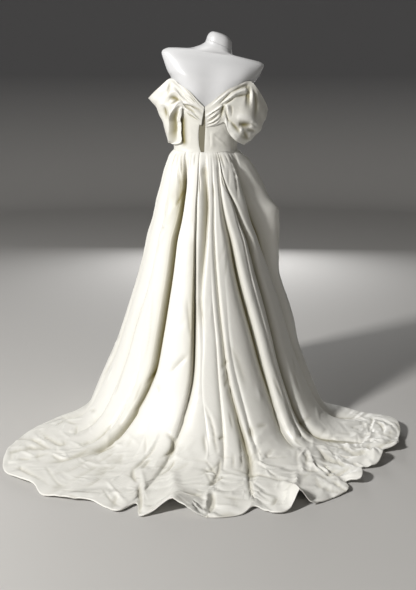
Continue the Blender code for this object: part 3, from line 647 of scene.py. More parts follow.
SLEEVE_RIGHT = table(
    Station,
    (-2.3, 1.266, 0.007, -0.2, 1.19, 0.007, 0.002, 0.001),
    (15, 1.322, 0.007, 12, 1.197, 0.008, 0.004, 0.0015),
    (30, 1.347, 0.008, 26, 1.208, 0.01, 0.008, 0.002),
    (56, 1.371, 0.009, 36, 1.168, 0.017, 0.018, 0.003),
    (80, 1.305, 0.06, 52, 1.136, 0.027, 0.021, 0.003),
    (97, 1.253, 0.101, 75, 1.121, 0.034, 0.021, 0.004),
    (114, 1.302, 0.064, 98, 1.125, 0.034, 0.024, 0.005),
    (128, 1.348, 0.02, 122, 1.165, 0.018, 0.008, 0.007),
    (150, 1.33, 0.008, 150, 1.225, 0.009, 0.006, 0.007),
    (179.97, 1.298, 0.007, 179.97, 1.2, 0.007, 0.003, 0.004),
)
BAND_FOLDS = 3
BAND_ROWS = 84
BAND_WIDTH = 0.16  # about the metres across a band, and those from one station to the next, for its creases
STATION_GAP = 0.05
STATION_STEPS = 16
EDGE_ROWS = 26
SINK_END = 0.72  # the share of the turned edge over which it sinks
SINK_ROUND = 1.3
TROUGH_TONE = 0.009  # how deep a sleeve's trough is where it is shaded in full
EDGE_SHADE = 0.85  # the shade inside the turned edge: its strength, place and span, and the sink that has all
EDGE_SHADE_PLACE = 0.28
EDGE_SHADE_SPAN = 0.26
EDGE_SHADE_SINK = 0.016


def clear_of_body(points, least):
    """Move points outwards, level, until they are at least this far from the body."""
    at = body_at(points[..., 2])
    at = body_at(points[..., 2] - (points[..., 0] - at.centre_x) * np.tan(np.radians(at.roll)))
    x = points[..., 0] - at.centre_x
    y = points[..., 1]
    reach = np.hypot(x, y)
    depth = np.where(y > 0, at.back, at.front)
    size = (np.abs(x / at.half_width) ** SQUARENESS + np.abs(y / depth) ** SQUARENESS) ** (1 / SQUARENESS)
    push = np.maximum(least - reach * (1 - 1 / size), 0) / reach
    moved = points.copy()
    moved[..., 0] += x * push
    moved[..., 1] += y * push
    return moved


def band_normals(strip, side):
    """Outward normals of a band. At its ends they stay square to the seams at centre back and front."""
    normals = grid_normals(strip) * side
    normals[:, [0, -1], 0] = 0
    return normals / np.linalg.norm(normals, axis=-1, keepdims=True)


def sleeve_band(stations, side, creases):
    """A sleeve's band, a smooth strip through its stations with its turned edge, gathers and creases, and how
    shaded each of its points is."""
    along = np.linspace(0, len(stations) - 1, (len(stations) - 1) * STATION_STEPS + 1)
    at = read_row(stations, along, range(len(stations)))
    top = body(side * at.top_turn, at.top_height, at.top_out)
    low = body(side * at.low_turn, at.low_height, at.low_out)
    turned_in = body(side * (at.low_turn + at.in_turn), at.low_height + at.in_height, at.low_out + at.in_out)
    across = np.linspace(0, 1, BAND_ROWS)[:, None]
    arch = np.sin(math.pi * across)
    strip = top + (low - top) * across[..., None]
    out = band_normals(strip, side)
    gathers = -0.5 * np.cos(math.tau * BAND_FOLDS * across) * at.gathers * arch**0.5
    strip = strip + out * (arch * at.belly + gathers)[..., None]
    marks = relief(*np.broadcast_arrays(across, along * STATION_GAP), creases, lambda *_: BAND_WIDTH)
    strip = clear_of_body(strip + band_normals(strip, side) * marks[..., None], DRAPE_EASE + WALL)
    shade = np.clip(TOP_SHADE - marks / TROUGH_TONE, 0, 1)

    inward = np.linspace(0, 1, EDGE_ROWS + 1)[1:, None]
    sunk = np.sin(math.pi * np.minimum(inward / SINK_END, 1)) ** SINK_ROUND * at.sink
    edge = strip[-1] + (turned_in - low) * inward[..., None] - out[-1] * sunk[..., None]
    edge_shade = EDGE_SHADE * bell(inward - EDGE_SHADE_PLACE, EDGE_SHADE_SPAN)
    edge_shade = edge_shade * np.clip(at.sink / EDGE_SHADE_SINK, 0, 1)
    return np.concatenate([strip, clear_of_body(edge, EDGE_EASE)]), np.concatenate([shade, edge_shade])


LEFT_CREASES = table(
    Crease,
    (0.14, 0.053, 0.2, 0.028, 3, -4, -0.006), (0, 0.078, 0.11, 0.013, 2.5, -2, -0.026),
    (0.06, 0.091, 0.14, 0.022, 3, 1.8, 0.002), (0.28, 0.094, 0.29, 0.031, 4, 4, 0.042),
    (0.81, 0.119, 0.28, 0.006, 4, -8, -0.014), (0.83, 0.11, 0.72, 0.015, 3.5, -6, -0.109),
    (1, 0.097, 0.82, 0.015, 3.5, -6, -0.035), (0.9, 0.108, 0.6, 0.01, 3, 4.5, -0.02),
    (0.83, 0.094, 0.8, 0.015, 4, 4.5, -0.045), (0.11, 0.153, 0.46, 0.184, 5, -3.5, 0.006),
    (0.55, 0.184, 0.8, 0.144, 10, -8.1, 0.035), (0.8, 0.194, 0.8, 0.141, 6, -5, 0.024),
    (0.46, 0.178, 0.47, 0.088, 6, 3.5, 0.057), (0.27, 0.019, 0.82, 0.128, 5, 5, -0.03),
    (0.82, 0.128, 1, 0.203, 5, 5, 0.016), (1, 0.203, 1, 0.29, 4, 4),
    (0.64, 0.225, 0.84, 0.256, 8, -8.1, 0.006), (0.75, 0.219, 1, 0.297, 4, -5.4, 0.112),
    (0.43, 0.228, 0.78, 0.206, 5, 4, -0.005), (0.07, 0.228, 0.59, 0.206, 10, 2.5, 0.134),
    (0.2, 0.29, 0.38, 0.372, 8, -4.5, 0.02), (0.24, 0.345, 0.36, 0.455, 7, 3.5, -0.01),
    (0.42, 0.325, 0.4, 0.44, 6, -4, 0.03), (0.5, 0.395, 0.46, 0.497, 5, -4, 0.01),
    (0.58, 0.335, 0.6, 0.425, 8, 4, 0.015), (0.66, 0.38, 0.58, 0.49, 5, -4.5, 0.02),
    (0.72, 0.42, 0.68, 0.498, 4, 3), (0.8, 0.35, 0.78, 0.462, 6, -3.5, -0.02),
    (0.34, 0.43, 0.3, 0.498, 4, -3), (0.86, 0.43, 0.82, 0.497, 4, -3, 0.01),
)
RIGHT_CREASES = table(
    Crease,
    (0.33, 0.044, 0.13, 0.091, 4, -5.4, -0.008), (0.13, 0.091, 0.06, 0.141, 4, -5),
    (0.33, 0.053, 0.19, 0.11, 5, 5, 0.054), (0.19, 0.11, 0.18, 0.153, 5, 4.5, 0.005),
    (0.43, 0.072, 0.3, 0.11, 3.5, -5.4, 0.03), (0.3, 0.11, 0.24, 0.16, 3.5, -5, 0.018),
    (0.1, 0.025, 0.01, 0.085, 3, -1.6, -0.032), (0.16, 0.019, 0.08, 0.075, 5, 2.5, 0.02),
    (0.05, 0.116, 0.05, 0.144, 3, 3, -0.014), (0.13, 0.122, 0.12, 0.147, 3, -2.5, -0.008),
    (0.05, 0.138, 0.42, 0.166, 3.5, -5.4, -0.015), (0.08, 0.15, 0.39, 0.172, 3.5, -6.3, -0.016),
    (0.1, 0.163, 0.3, 0.175, 3.5, 5, -0.006), (0.07, 0.169, 0.46, 0.203, 5, -5.4, -0.054),
    (0.46, 0.006, 0.46, 0.047, 4, 4), (0.54, 0.013, 0.48, 0.044, 2.5, -4, -0.013),
    (0.64, 0.006, 0.58, 0.044, 3, 4, 0.014), (0.76, 0.006, 0.66, 0.056, 2.5, -5, 0.031),
    (0.85, 0.01, 0.76, 0.059, 3, 4, 0.018), (0.9, 0.013, 0.83, 0.062, 2.5, -4, 0.024),
    (0.95, 0.01, 0.89, 0.066, 3, 3.5, 0.03), (0.61, 0.081, 0.85, 0.131, 3.5, -5.4, 0.124),
    (0.85, 0.131, 0.84, 0.191, 4, -6.3, -0.005), (0.76, 0.088, 0.94, 0.15, 7, 3.5, 0.132),
    (0.94, 0.15, 0.95, 0.219, 8, 3.5, 0.019), (0.46, 0.034, 0.47, 0.075, 4, 5, -0.031),
    (0.47, 0.075, 0.73, 0.103, 4, 4.5, -0.046), (0.51, 0.097, 0.76, 0.125, 3.5, -3, -0.033),
    (0.47, 0.056, 0.88, 0.072, 8, -8.1, -0.189), (0.69, 0.15, 0.49, 0.206, 6, 5.4, 0.011),
    (0.76, 0.169, 0.58, 0.203, 8, -8.1, 0.007), (0.59, 0.194, 0.52, 0.219, 4, 5, -0.043),
    (0.82, 0.181, 0.76, 0.191, 6, 5.4, 0.005), (0.66, 0.2, 0.57, 0.225, 4, 5, -0.013),
    (0.71, 0.203, 0.61, 0.231, 3, -4, 0.005), (0.76, 0.215, 0.65, 0.231, 3.5, 4, 0.018),
    (0.77, 0.194, 0.84, 0.231, 5, -5.4), (0.81, 0.222, 0.76, 0.231, 4, 4, -0.009),
    (0.87, 0.197, 0.82, 0.238, 5, -3, 0.019), (0.22, 0.255, 0.34, 0.33, 8, -4.5, 0.02),
    (0.3, 0.3, 0.4, 0.392, 7, 4, -0.015), (0.44, 0.29, 0.42, 0.372, 6, -4.5, 0.02),
    (0.5, 0.345, 0.48, 0.447, 5, -4, 0.01), (0.57, 0.3, 0.55, 0.385, 8, 4, 0.015),
    (0.64, 0.335, 0.6, 0.44, 5, -4, 0.02), (0.71, 0.375, 0.68, 0.447, 4, 3),
    (0.78, 0.28, 0.76, 0.395, 7, -5, -0.03), (0.84, 0.355, 0.82, 0.446, 5, -3.5, 0.01),
    (0.34, 0.385, 0.32, 0.448, 4, -3),
)


def sleeve(hand, side, stations, creases):
    outer, shade = sleeve_band(stations, side, creases)
    inner = clear_of_body(outer - band_normals(outer, side) * CLOTH, DRAPE_EASE)
    piece = cloth_shell("satin_sleeve_" + hand, outer, shade, inner)
    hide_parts("sleeve_" + hand)


sleeve("left", 1, SLEEVE_LEFT, LEFT_CREASES)
sleeve("right", -1, SLEEVE_RIGHT, RIGHT_CREASES)


# The skirt: five gored panels of satin, cut with the train in one and pleated into the waist seam. The pleats
# open into long folds that run out over the floor, and the hem lies in uneven scallops.

SKIRT_EASE = 0.0012


class Ring(NamedTuple):
    """The hanging skirt's outline at a height, over the crests of its folds."""

    height: float
    half_width: float
    back: float
    front: float
    right_hip: float


SKIRT = table(
    Ring,
    (0.02, 0.502, 0.56, 0.452, 0), (0.08, 0.48, 0.508, 0.43, 0),
    (0.177, 0.44, 0.452, 0.398, 0), (0.284, 0.386, 0.405, 0.358, 0.01),
    (0.39, 0.348, 0.364, 0.322, 0.028), (0.495, 0.313, 0.325, 0.29, 0.032),
    (0.598, 0.28, 0.288, 0.258, 0.031), (0.65, 0.265, 0.27, 0.244, 0.041),
    (0.699, 0.253, 0.253, 0.23, 0.052), (0.766, 0.238, 0.23, 0.211, 0.069),
    (0.832, 0.216, 0.207, 0.191, 0.089), (0.864, 0.209, 0.196, 0.182, 0.091),
    (0.897, 0.202, 0.185, 0.173, 0.07), (0.962, 0.183, 0.161, 0.153, 0.054),
    (1.026, 0.166, 0.138, 0.133, 0.036), (1.058, 0.154, 0.122, 0.119, 0.025),
    (1.085, 0.142, 0.106, 0.105, 0.008), (1.1, 0.128, 0.0928, 0.0928, 0),
)
RIGHT_HIP_TURN = -95.0
RIGHT_HIP_SPAN = 33.0


class Fold(NamedTuple):
    """One fold line of the skirt: the bottom of the trough between two soft crests.

    The first nine columns are its turn, in degrees, from the waist down to the floor and at the hem.
    Then come its depth in millimetres from the waist down to the floor, its half-width in millimetres
    at the hip, the knee and the floor, how many times wider it opens on the wearer's left, and the
    share of the train that it crosses.
    """

    waist: float
    hip: float
    seat: float
    thigh: float
    knee: float
    calf: float
    ankle: float
    floor: float
    hem: float
    depth_top: float
    depth_high: float
    depth_mid: float
    depth_low: float
    depth_floor: float
    open_top: float
    open_mid: float
    open_low: float
    slope: float
    runs_out: float


TURNS = slice(7, None, -1)  # a fold's turns, depths and half-widths, from the floor up, and their heights
DEPTHS = slice(13, 8, -1)
OPENS = slice(16, 13, -1)
TURN_COLUMNS = Fold._fields[:9]
TURN_HEIGHTS = (0.05, 0.22, 0.40, 0.58, 0.80, 0.90, 1.00, 1.10)
DEPTH_HEIGHTS = (0.05, 0.40, 0.75, 0.95, 1.10)
OPEN_HEIGHTS = (0.10, 0.60, 1.00)
BACK_FOLDS = table(
    Fold,
    (-50, -60, -65, -70, -82, -80, -78, -76, -77, 4, 34, 48, 42, 30, 22, 34, 26, 1, 0.6),
    (-21.2, -23.6, -36, -46, -55.5, -56.5, -53, -51, -60, 3, 20, 30, 38, 34, 5, 10, 16, 3, 0.75),
    (-20.4, -22.2, -31.8, -37, -41.5, -44.5, -45.5, -45, -45, 0, 3, 4, 4, 12, 3, 5, 9, 1, 0.3),
    (-19.6, -19.3, -20.2, -25, -32, -36.5, -38, -38, -33, 1, 12, 30, 38, 26, 4, 11, 17, 3, 0.2),
    (-14, -14.2, -14.5, -15, -15.8, -15.8, -18.7, -22.2, -17, 1, 0, 0, 3, 10, 3, 6, 9, 1.5, 0.15),
    (-9.6, -9.8, -10, -9, -10.2, -11.9, -13.7, -19, -11, 0, 5, 12, 16, 28, 2.5, 5, 8, 2, 0.6),
    (-5, -5.5, -6, -5, -5, -6.9, -7.5, -8.8, -1.5, 1, 0, 0, 6, 12, 3, 5, 8, 1.3, 0.3),
    (-0.6, -1.1, -2.7, -1, 2.9, 1.6, 2.2, -2.5, 3, 0, 26, 24, 4, 3, 8, 8, 6, 2.4, 0.1),
    (10, 9.8, 10.4, 10.1, 8.7, 7.5, 7.8, 13.5, 15, 4, 12, 24, 32, 15, 3, 6, 22, 0.45, 0.95),
    (22, 20, 21, 24.5, 24.6, 25.5, 26.2, 28, 24, 2, 1, 0, 1, 3, 4, 8, 10, 1.5, 0.6),
    (36, 28.6, 28.5, 30.5, 31.6, 31.6, 32.5, 41, 42, 5, 40, 36, 34, 28, 8, 14, 20, 0.55, 0.5),
    (49, 47.5, 46.5, 46.5, 46, 45, 41, 47, 48, 1, 0, 0, 0, 14, 4, 5, 8, 1.5, 0.4),
    (57, 55.3, 54.4, 54.2, 54.7, 57.5, 56.5, 59, 60, 4, 8, 8, 8, 10, 8, 14, 18, 1.2, 0.5),
)
BACK_COLUMNS = (36, 28, 28, 30, 22, 24, 26, 22, 42, 24, 24, 38, 38)  # from each back fold to the next
COLUMN_CROWDING = 0.6  # how far the columns draw together at the fold lines
HIDDEN_FOLDS = 12
HIDDEN_START = 75.0
HIDDEN_STEP = 16.4
HIDDEN_COLUMNS = 20
HIDDEN_SWAYS = (0, 0.6, 1, 1.2, 1.2, 0.8, 0.3, 0, 0)  # the share of a fold's sway that each turn has
HIDDEN_WAIST_DEPTH = 3
HIDDEN_DEPTHS = (13, 19, 25, 20)  # below the waist
HIDDEN_OPENS = (4, 9, 13)
HIDDEN_RUNS_OUT = 0.8
SWAY_WAVE = (0, 2.5, 1.7, 0.6)  # waves from fold to fold: the middle, the swing, the step and the start
DEEP_WAVE = (1, 0.25, 2.3, 0)
SLOPE_WAVE = (1.9, 0.6, 3.1, 0)
MOST_OPEN = 0.75  # of the way to the next fold that a trough's wall may take up
GENTLE = 1.15  # the powers by which a trough's wide wall and its narrow one fall away
STEEP = 1.7
CROWDED = 0.007  # fold lines that come as close as this flatten out
CROWDED_DEPTH = 0.5
RIPPLE = 0.12  # the depth that two neighbours share, at most
LIP = 0.02  # how far the cloth beside a trough stands up, as a share of its depth
LIP_PLACE = 2.0  # in half-widths of the trough, as the next three are
LIP_SPAN = 0.8
LEAN_PLACE = 1.2
LEAN_SPAN = 0.7
LEAN = 0.40  # how far a trough's steep wall leans over it, as a share of its half-width
MOST_LEAN = 0.3  # of its depth
TONE_REACH = 0.017  # how far left of a deep fold line its shade is seen, and the share of that on its right
TONE_RIGHT = 0.4
TONE_DEPTH = 0.034  # how deep a fold is where it is shaded in full
TONE_FALL = 1.3
MARK_TONE = 0.016  # the same for a crease, and the most shade that it has
MOST_MARK_TONE = 0.3
HANGING_ROWS = 150
ROW_SPREAD = 1.05  # above 1, the rows are closer at the waist
BEND_ROWS = 12  # the lowest hanging rows, which begin to turn on to the floor
BEND_SPREAD = 26  # in rows, and how often the bend is smoothed
BEND_PASSES = 360
TRAIN_ROWS = 96
TRAIN_START = 0.045
FOLD_FADE = 0.7  # the power by which the folds run out over the train
FIRST_DROP = 0.06
LEAST_CRUMPLED = 0.15  # of the hanging cloth
CRUMPLED_LEVELS = (-0.10, 0.06)  # minus the levels between which the cloth becomes as crumpled as the train


class TrainRow(NamedTuple):
    """A row of the train, by its share of the way to the hem, and the height of its crests."""

    share: float
    crest: float


TRAIN = table(
    TrainRow,
    (0, 0.05), (0.12, 0.034), (0.28, 0.025), (0.46, 0.02),
    (0.65, 0.016), (0.84, 0.012), (1, 0.008),
)
HEM_LIFT_START = 0.55
HEM_ROLL = 0.0028  # the radius of the hem's soft turned edge
HEM_ROLL_ANGLES = (35, 70, 105, 140)
HEM_SLOPE_ROWS = 3  # the rows that give the hem's direction
LOWEST = 0.0068  # how high the cloth's face stays over the floor
LOWEST_INSIDE = 0.0004


class Hem(NamedTuple):
    """How far the hem reaches along the floor at a turn from centre back, and how high it is lifted."""

    turn: float
    reach: float
    lift: float


HEM = table(
    Hem,
    (-180, 0.472, 0.004), (-160, 0.482, 0), (-140, 0.474, 0.008), (-120, 0.494, 0),
    (-108, 0.496, 0.01), (-99, 0.508, 0), (-91, 0.532, 0.004), (-86, 0.59, 0.01),
    (-82, 0.668, 0.006), (-78, 0.762, 0.018), (-70, 0.824, 0.03), (-63, 0.838, 0.016),
    (-57.6, 0.846, 0.024), (-55.2, 0.812, 0.006), (-51, 0.842, 0.036), (-46.4, 0.852, 0.012),
    (-42.2, 0.822, 0.004), (-39.5, 0.868, 0.03), (-37, 0.892, 0.02), (-34.8, 0.858, 0.002),
    (-33.2, 0.898, 0.008), (-30.4, 0.912, 0.002), (-26.8, 0.92, 0), (-24.2, 0.926, 0.002),
    (-22.2, 0.928, 0.01), (-21.4, 0.926, 0.02), (-20.7, 0.922, 0.04), (-19.8, 0.915, 0.056),
    (-18.9, 0.924, 0.044), (-17.6, 0.938, 0.018), (-16.2, 0.946, 0.006), (-14.2, 0.944, 0.004),
    (-12.6, 0.926, 0), (-10.7, 0.896, 0.006), (-7.5, 0.926, 0), (-4.2, 0.938, 0.002),
    (-0.7, 0.938, 0), (2.4, 0.93, 0.016), (5.2, 0.918, 0.04), (6.6, 0.912, 0.05),
    (8.2, 0.918, 0.036), (10.6, 0.938, 0.008), (13, 0.948, 0.002), (14.4, 0.89, 0.004),
    (17, 0.944, 0.004), (20, 0.936, 0), (24.3, 0.92, 0.006), (28, 0.938, 0.01),
    (31.4, 0.952, 0.008), (34.8, 0.966, 0.002), (38.3, 0.944, 0.012), (43.4, 0.95, 0.012),
    (47.6, 0.955, 0.006), (53.5, 0.922, 0.003), (58.5, 0.876, 0.006), (63.1, 0.824, 0.002),
    (68, 0.76, 0.004), (72.9, 0.694, 0.002), (76.5, 0.628, 0.008), (82, 0.566, 0.004),
    (89, 0.522, 0.004), (98, 0.504, 0.008), (112, 0.494, 0), (126, 0.486, 0.01),
    (140, 0.48, 0), (160, 0.482, 0.008), (180, 0.472, 0.004),
)


class Hollow(NamedTuple):
    """A soft dent in the skirt, in degrees and metres."""

    turn: float
    height: float
    half_turn: float
    half_height: float
    depth: float
    tone: float  # how much painted shade it takes on, in the deep folds' colour


HOLLOWS = table(
    Hollow,
    (42, 0.895, 11, 0.075, 0.02, 0.3),  # the slack of the left hip pleat
    (36, 0.935, 4, 0.05, 0.012, 0.35),  # the pocket where its folds meet
    (1, 1.022, 4, 0.022, 0.007, 0.2),  # the drop-shaped start of the centre-back fold
    (-21, 1.078, 9, 0.014, 0.003, 0.25),  # under the waist seam beside it
    (-6, 1.05, 15, 0.024, -0.007, 0),  # the fullness just under the seam
)
SKIRT_CREASES = table(
    Crease,
    (41, 1.091, 31.8, 1.005, 3, -6.5), (26.8, 1.084, 25.8, 1.021, 3, -4),
    (43.2, 1.045, 33, 0.95, 3.5, -6), (30.5, 0.945, 39.5, 0.892, 4, -9),
    (48, 1.094, 46.5, 1.04, 3, -3.5, 0.3), (57, 1.094, 58, 1.025, 3.5, -4, 0.3),
    (66, 1.094, 69, 1.045, 3, -3, 0.3), (16, 1.092, 15.6, 1.05, 3, -2.5),
    (-25.5, 1.092, -27.5, 1.035, 3, -3.5), (-33, 1.092, -37, 1.05, 3, -3),
    (-42, 1.094, -49, 1.025, 3.5, -4, 0.5), (-56, 1.094, -61, 1.045, 3, -3),
    (54.5, 1.063, 55, 0.852, 6, 3.5), (54, 0.83, 43.5, 0.808, 3.5, 4),
    (54, 0.814, 44.2, 0.8, 3, -3), (50.8, 0.789, 49.2, 0.706, 4, -3),
    (7.5, 1.008, 6.8, 0.949, 2.5, -5.5), (-10, 0.978, -10.2, 0.923, 2.5, -3.5),
    (-39.8, 1.083, -39.8, 0.914, 3.5, -5, -3.3), (-42, 1.064, -45.8, 0.973, 3.5, 5),
    (-34, 1.035, -29.8, 0.961, 3, -2.5), (-22.5, 1.022, -23, 0.966, 3, -3),
    (-54, 1.074, -52, 0.987, 5, -3), (-70.2, 1.076, -80.8, 0.933, 6, 4),
    (14, 0.561, 9.5, 0.429, 5, -3), (11.2, 0.358, 19.5, 0.297, 7, -4.5),
    (45.2, 0.56, 39.8, 0.286, 6, -3, -2.5), (57, 0.518, 55.5, 0.213, 9, -3, 1.3),
    (4, 0.562, 0.8, 0.445, 4, -3.5), (5.5, 0.555, 4.2, 0.462, 7, -3),
    (-9.5, 0.313, -14.8, 0.339, 3, -3.5), (-9.2, 0.292, -13.5, 0.308, 3, 3.5),
    (-10, 0.247, -13, 0.273, 3, -3.5), (-10.2, 0.229, -13.8, 0.248, 3, 3),
    (-16.2, 0.391, -22.2, 0.246, 12, -3.5, -1.1), (-28.8, 0.228, -29.5, 0.185, 5, 4),
    (-41.8, 0.246, -43, 0.164, 5, -3.5), (-65.2, 0.287, -61.8, 0.231, 4, -3),
    (-59.8, 0.235, -58.2, 0.168, 5, -3), (-24.5, 0.091, -29.8, 0.09, 7, -5),
    (27.5, 0.237, 24.2, 0.219, 6, -3), (-11.8, 0.155, -13.2, 0.096, 3.5, -4),
    (0.2, 0.181, -5.5, -0.004, 4.5, -5, -1.8), (-9, 0.071, -6.8, 0.055, 4, -7),
    (-16.6, 0.048, -12.8, -0.082, 2.5, -7), (-21.5, 0.094, -22.1, 0.054, 9, -6),
    (-33.2, 0.138, -35, 0.075, 4, 3),
)
TRAIN_CREASES = table(
    Crease,
    (66, -0.174, 54.9, -0.119, 9, -7, -6.8), (65.4, -0.204, 55.7, -0.181, 5, 6.3),
    (63, -0.222, 52, -0.189, 6, -6.3), (57.9, -0.26, 52.7, -0.201, 13, -8.4),
    (55.5, -0.287, 50.8, -0.262, 5, 7), (52.4, -0.32, 49.9, -0.285, 7, -5.6),
    (52.1, -0.205, 48, -0.164, 6, 5.6, -5.9), (52, -0.189, 46.5, -0.131, 3.5, -3.5),
    (45, -0.252, 43.9, -0.086, 10, -7, -1.3), (41.1, -0.232, 41.3, -0.069, 7, 7, -0.5),
    (38.5, -0.298, 39, -0.111, 3.5, -6.3, -0.9), (33.7, -0.288, 34.4, -0.128, 3.5, -6.3, -0.7),
    (34.8, -0.362, 33.3, -0.284, 4, -5.6), (33, -0.097, 28.5, -0.304, 5, -7, -1.6),
    (26.7, -0.217, 16.5, -0.324, 5, 5.6, -0.6), (24.6, -0.273, 16.9, -0.353, 3, -4.2),
    (32.3, -0.35, 24.5, -0.295, 3, -4.2, -0.6), (29.4, -0.361, 26.6, -0.365, 3, -4.2),
    (33.4, -0.412, 33.5, -0.364, 3, -5.6), (32.5, -0.409, 32.4, -0.368, 3, -4.9),
    (37.6, -0.011, 39.9, -0.088, 3.5, -11.2, 1.2), (36.4, -0.034, 35.6, -0.129, 3, -5.6, -1.3),
    (37.3, -0.052, 37, -0.113, 3.5, 5.6), (46, -0.348, 36.5, -0.347, 7, -7, 4.9),
    (71.9, -0.076, 68.9, -0.105, 4, -4.2), (64.1, -0.032, 56.6, -0.065, 5, -4.2),
    (17.2, 0.068, 15.9, -0.01, 5, -12.6, -2.5), (11.7, -0.015, 13.6, -0.1, 4, -11.2, -0.9),
    (13, 0.032, 16.7, -0.03, 5, 7, -4.1), (20.9, 0.032, 23.1, -0.109, 6, -9.8, 0.3),
    (23.1, -0.109, 18.6, -0.183, 5, -8.4, 0.5), (20.2, -0.027, 20.9, -0.089, 5, -5.6),
    (17.4, -0.192, 15.1, -0.269, 4, -8.4), (20.9, -0.098, 13.7, -0.277, 8, 7, -1.2),
    (16.2, -0.216, 12.8, -0.367, 5, -12.6, -0.4), (11.1, -0.308, 9.7, -0.343, 3, -4.2, 0.4),
    (10.4, -0.091, 6.5, -0.249, 14, 12.6, -0.7), (4.2, -0.246, 0.1, -0.237, 8, -7),
    (-6.3, -0.021, -1.6, -0.189, 6, -9.8, -0.7), (-7.3, -0.115, -2.4, -0.175, 4, -8.4, 0.7),
    (-2.7, -0.224, -1.1, -0.341, 5, -12.6, -0.5), (-1.6, -0.21, -0.1, -0.341, 6, 7),
    (-5.9, 0.004, -11.1, -0.013, 3, -2.8), (-11.8, 0.002, -10.2, -0.067, 3, -4.2),
    (-5.2, -0.247, -9.4, -0.276, 5, -3.5), (-16.5, -0.046, -11.1, -0.288, 4.5, -15.4, 0.4),
    (10.6, -0.13, 7, -0.069, 4, 2.8), (-19.9, -0.026, -25.8, -0.118, 5, 6.3, 2.3),
    (-27.5, -0.001, -31.9, -0.059, 3, -4.9, 5.7), (-16.7, -0.112, -23.8, -0.228, 6, -4.2, -0.2),
    (-21.6, -0.151, -24.9, -0.204, 4, 4.9), (-16.7, -0.291, -14.3, -0.334, 4, -7),
    (-18.9, -0.266, -15.9, -0.348, 4, 7, -1), (-28.2, -0.142, -22.6, -0.259, 6, 11.2),
    (-40.7, -0.04, -33.7, -0.083, 4, 5.6), (-40.7, -0.04, -35.3, -0.137, 4, 5.6),
    (-39.2, -0.059, -32.3, -0.139, 6, -5.6), (-44, -0.062, -40.1, -0.219, 7, -11.2, 1.1),
    (-45.5, -0.093, -42.1, -0.213, 4, 7, 0.7), (-49.8, -0.055, -51, -0.157, 4, -5.6, 1.7),
    (-44.8, -0.157, -45.2, -0.198, 3, -5.6), (-37, -0.213, -39.2, -0.258, 6, -15.4, 4),
    (-37.5, -0.158, -35.3, -0.214, 3, -8.4), (-35.2, -0.155, -34.3, -0.213, 5, -7),
    (-29.8, -0.225, -30.4, -0.347, 3, -11.2, 1.5), (-31.3, -0.221, -32.5, -0.336, 5, 7, 1.4),
    (-44.3, -0.22, -40.5, -0.275, 6, -8.4), (-50.5, -0.177, -48, -0.24, 4, -4.2),
    (-68.2, -0.057, -73, -0.152, 8, 8.4), (-59, -0.073, -62.5, -0.168, 5, -5.6),
    (-74.2, -0.164, -59.6, -0.177, 4, -7, -6.2), (-72, -0.181, -63.6, -0.24, 4, -8.4, -2),
    (-69.2, -0.196, -58.7, -0.193, 5, 5.6, 7.2), (-55.4, -0.207, -49.9, -0.247, 5, -9.8),
    (-54, -0.239, -57.2, -0.278, 5, -8.4),
)
HIDDEN_SHIFTS = (96, 138, 180, 222)  # turns by which the back's hanging creases are repeated out of sight
HIDDEN_LEVELS = (0.15, 0.80)  # the heights between which such a crease ends


class Handling(NamedTuple):
    """Small marks where the cloth was handled, strewn at random. Turns, levels, lengths and heights are each
    the least and the most, and steepness is how far a mark may lean, in radians."""

    seed: int
    count: int
    turns: tuple
    levels: tuple
    lengths: tuple
    steepness: float
    heights: tuple


HANDLING = table(
    Handling,
    (5, 110, (-90, 270), (0.12, 1.04), (0.04, 0.13), 0.5, (0.5, 1.4)),
    (8, 260, (-72, 72), (-0.42, 0.05), (0.03, 0.12), 1.6, (1.5, 4.5)),
    (11, 70, (-72, -30), (-0.40, -0.12), (0.03, 0.09), 0.9, (4, 8)),
)
HANDLING_WIDTHS = (3.5, 8)
HANDLING_BOWS = (-0.2, 0.2)  # as a share of the mark's run across


class Gore(NamedTuple):
    """A panel of the skirt: its first and last fold, the size that shows flat and its area."""

    node: str
    first_fold: int
    last_fold: int
    flat: tuple
    area: float


GORES = table(
    Gore,
    ("skirt_back_right", 0, 7, (1.50, 1.58), 0.97),
    ("skirt_back_left", 7, 13, (1.38, 1.60), 0.94),
    ("skirt_side_left", 13, 16, (0.51, 1.32), 0.36),
    ("skirt_front", 16, 22, (0.83, 1.20), 0.74),
    ("skirt_side_right", 22, 25, (0.71, 1.46), 0.48),
)


def handling_marks(strewn):
    draw = np.random.default_rng(strewn.seed).uniform
    made = []
    for _ in range(strewn.count):
        turn, level, length = draw(*strewn.turns), draw(*strewn.levels), draw(*strewn.lengths)
        lean = draw(-1, 1) * strewn.steepness
        wide = length * math.sin(lean) / skirt_across(turn, level)
        tall = length * math.cos(lean)
        bow = wide * draw(*HANDLING_BOWS)
        half_width, height = draw(*HANDLING_WIDTHS), draw(*strewn.heights)
        height = height if draw(0, 1) < 0.5 else -height
        ends = (turn - wide / 2, level + tall / 2, turn + wide / 2, level - tall / 2)
        made.append(Crease(*ends, half_width, height, bow))
    return made


def wave(number, middle, swing, step, start):
    return middle + swing * math.sin(step * number + start)


def all_folds():
    """The fold lines of the back view, those of the sides and front, made by a rule, and the first again."""
    folds = list(BACK_FOLDS)
    for number in range(HIDDEN_FOLDS):
        sway, deep, slope = (wave(number, *row) for row in (SWAY_WAVE, DEEP_WAVE, SLOPE_WAVE))
        turns = [HIDDEN_START + HIDDEN_STEP * number + share * sway for share in HIDDEN_SWAYS]
        depths = [HIDDEN_WAIST_DEPTH, *(depth * deep for depth in HIDDEN_DEPTHS)]
        top, middle, low = HIDDEN_OPENS
        folds.append(Fold(*turns, *depths, top, middle * deep, low, slope, HIDDEN_RUNS_OUT))
    first = folds[0]
    folds.append(first._replace(**{name: getattr(first, name) + 360 for name in TURN_COLUMNS}))
    return folds


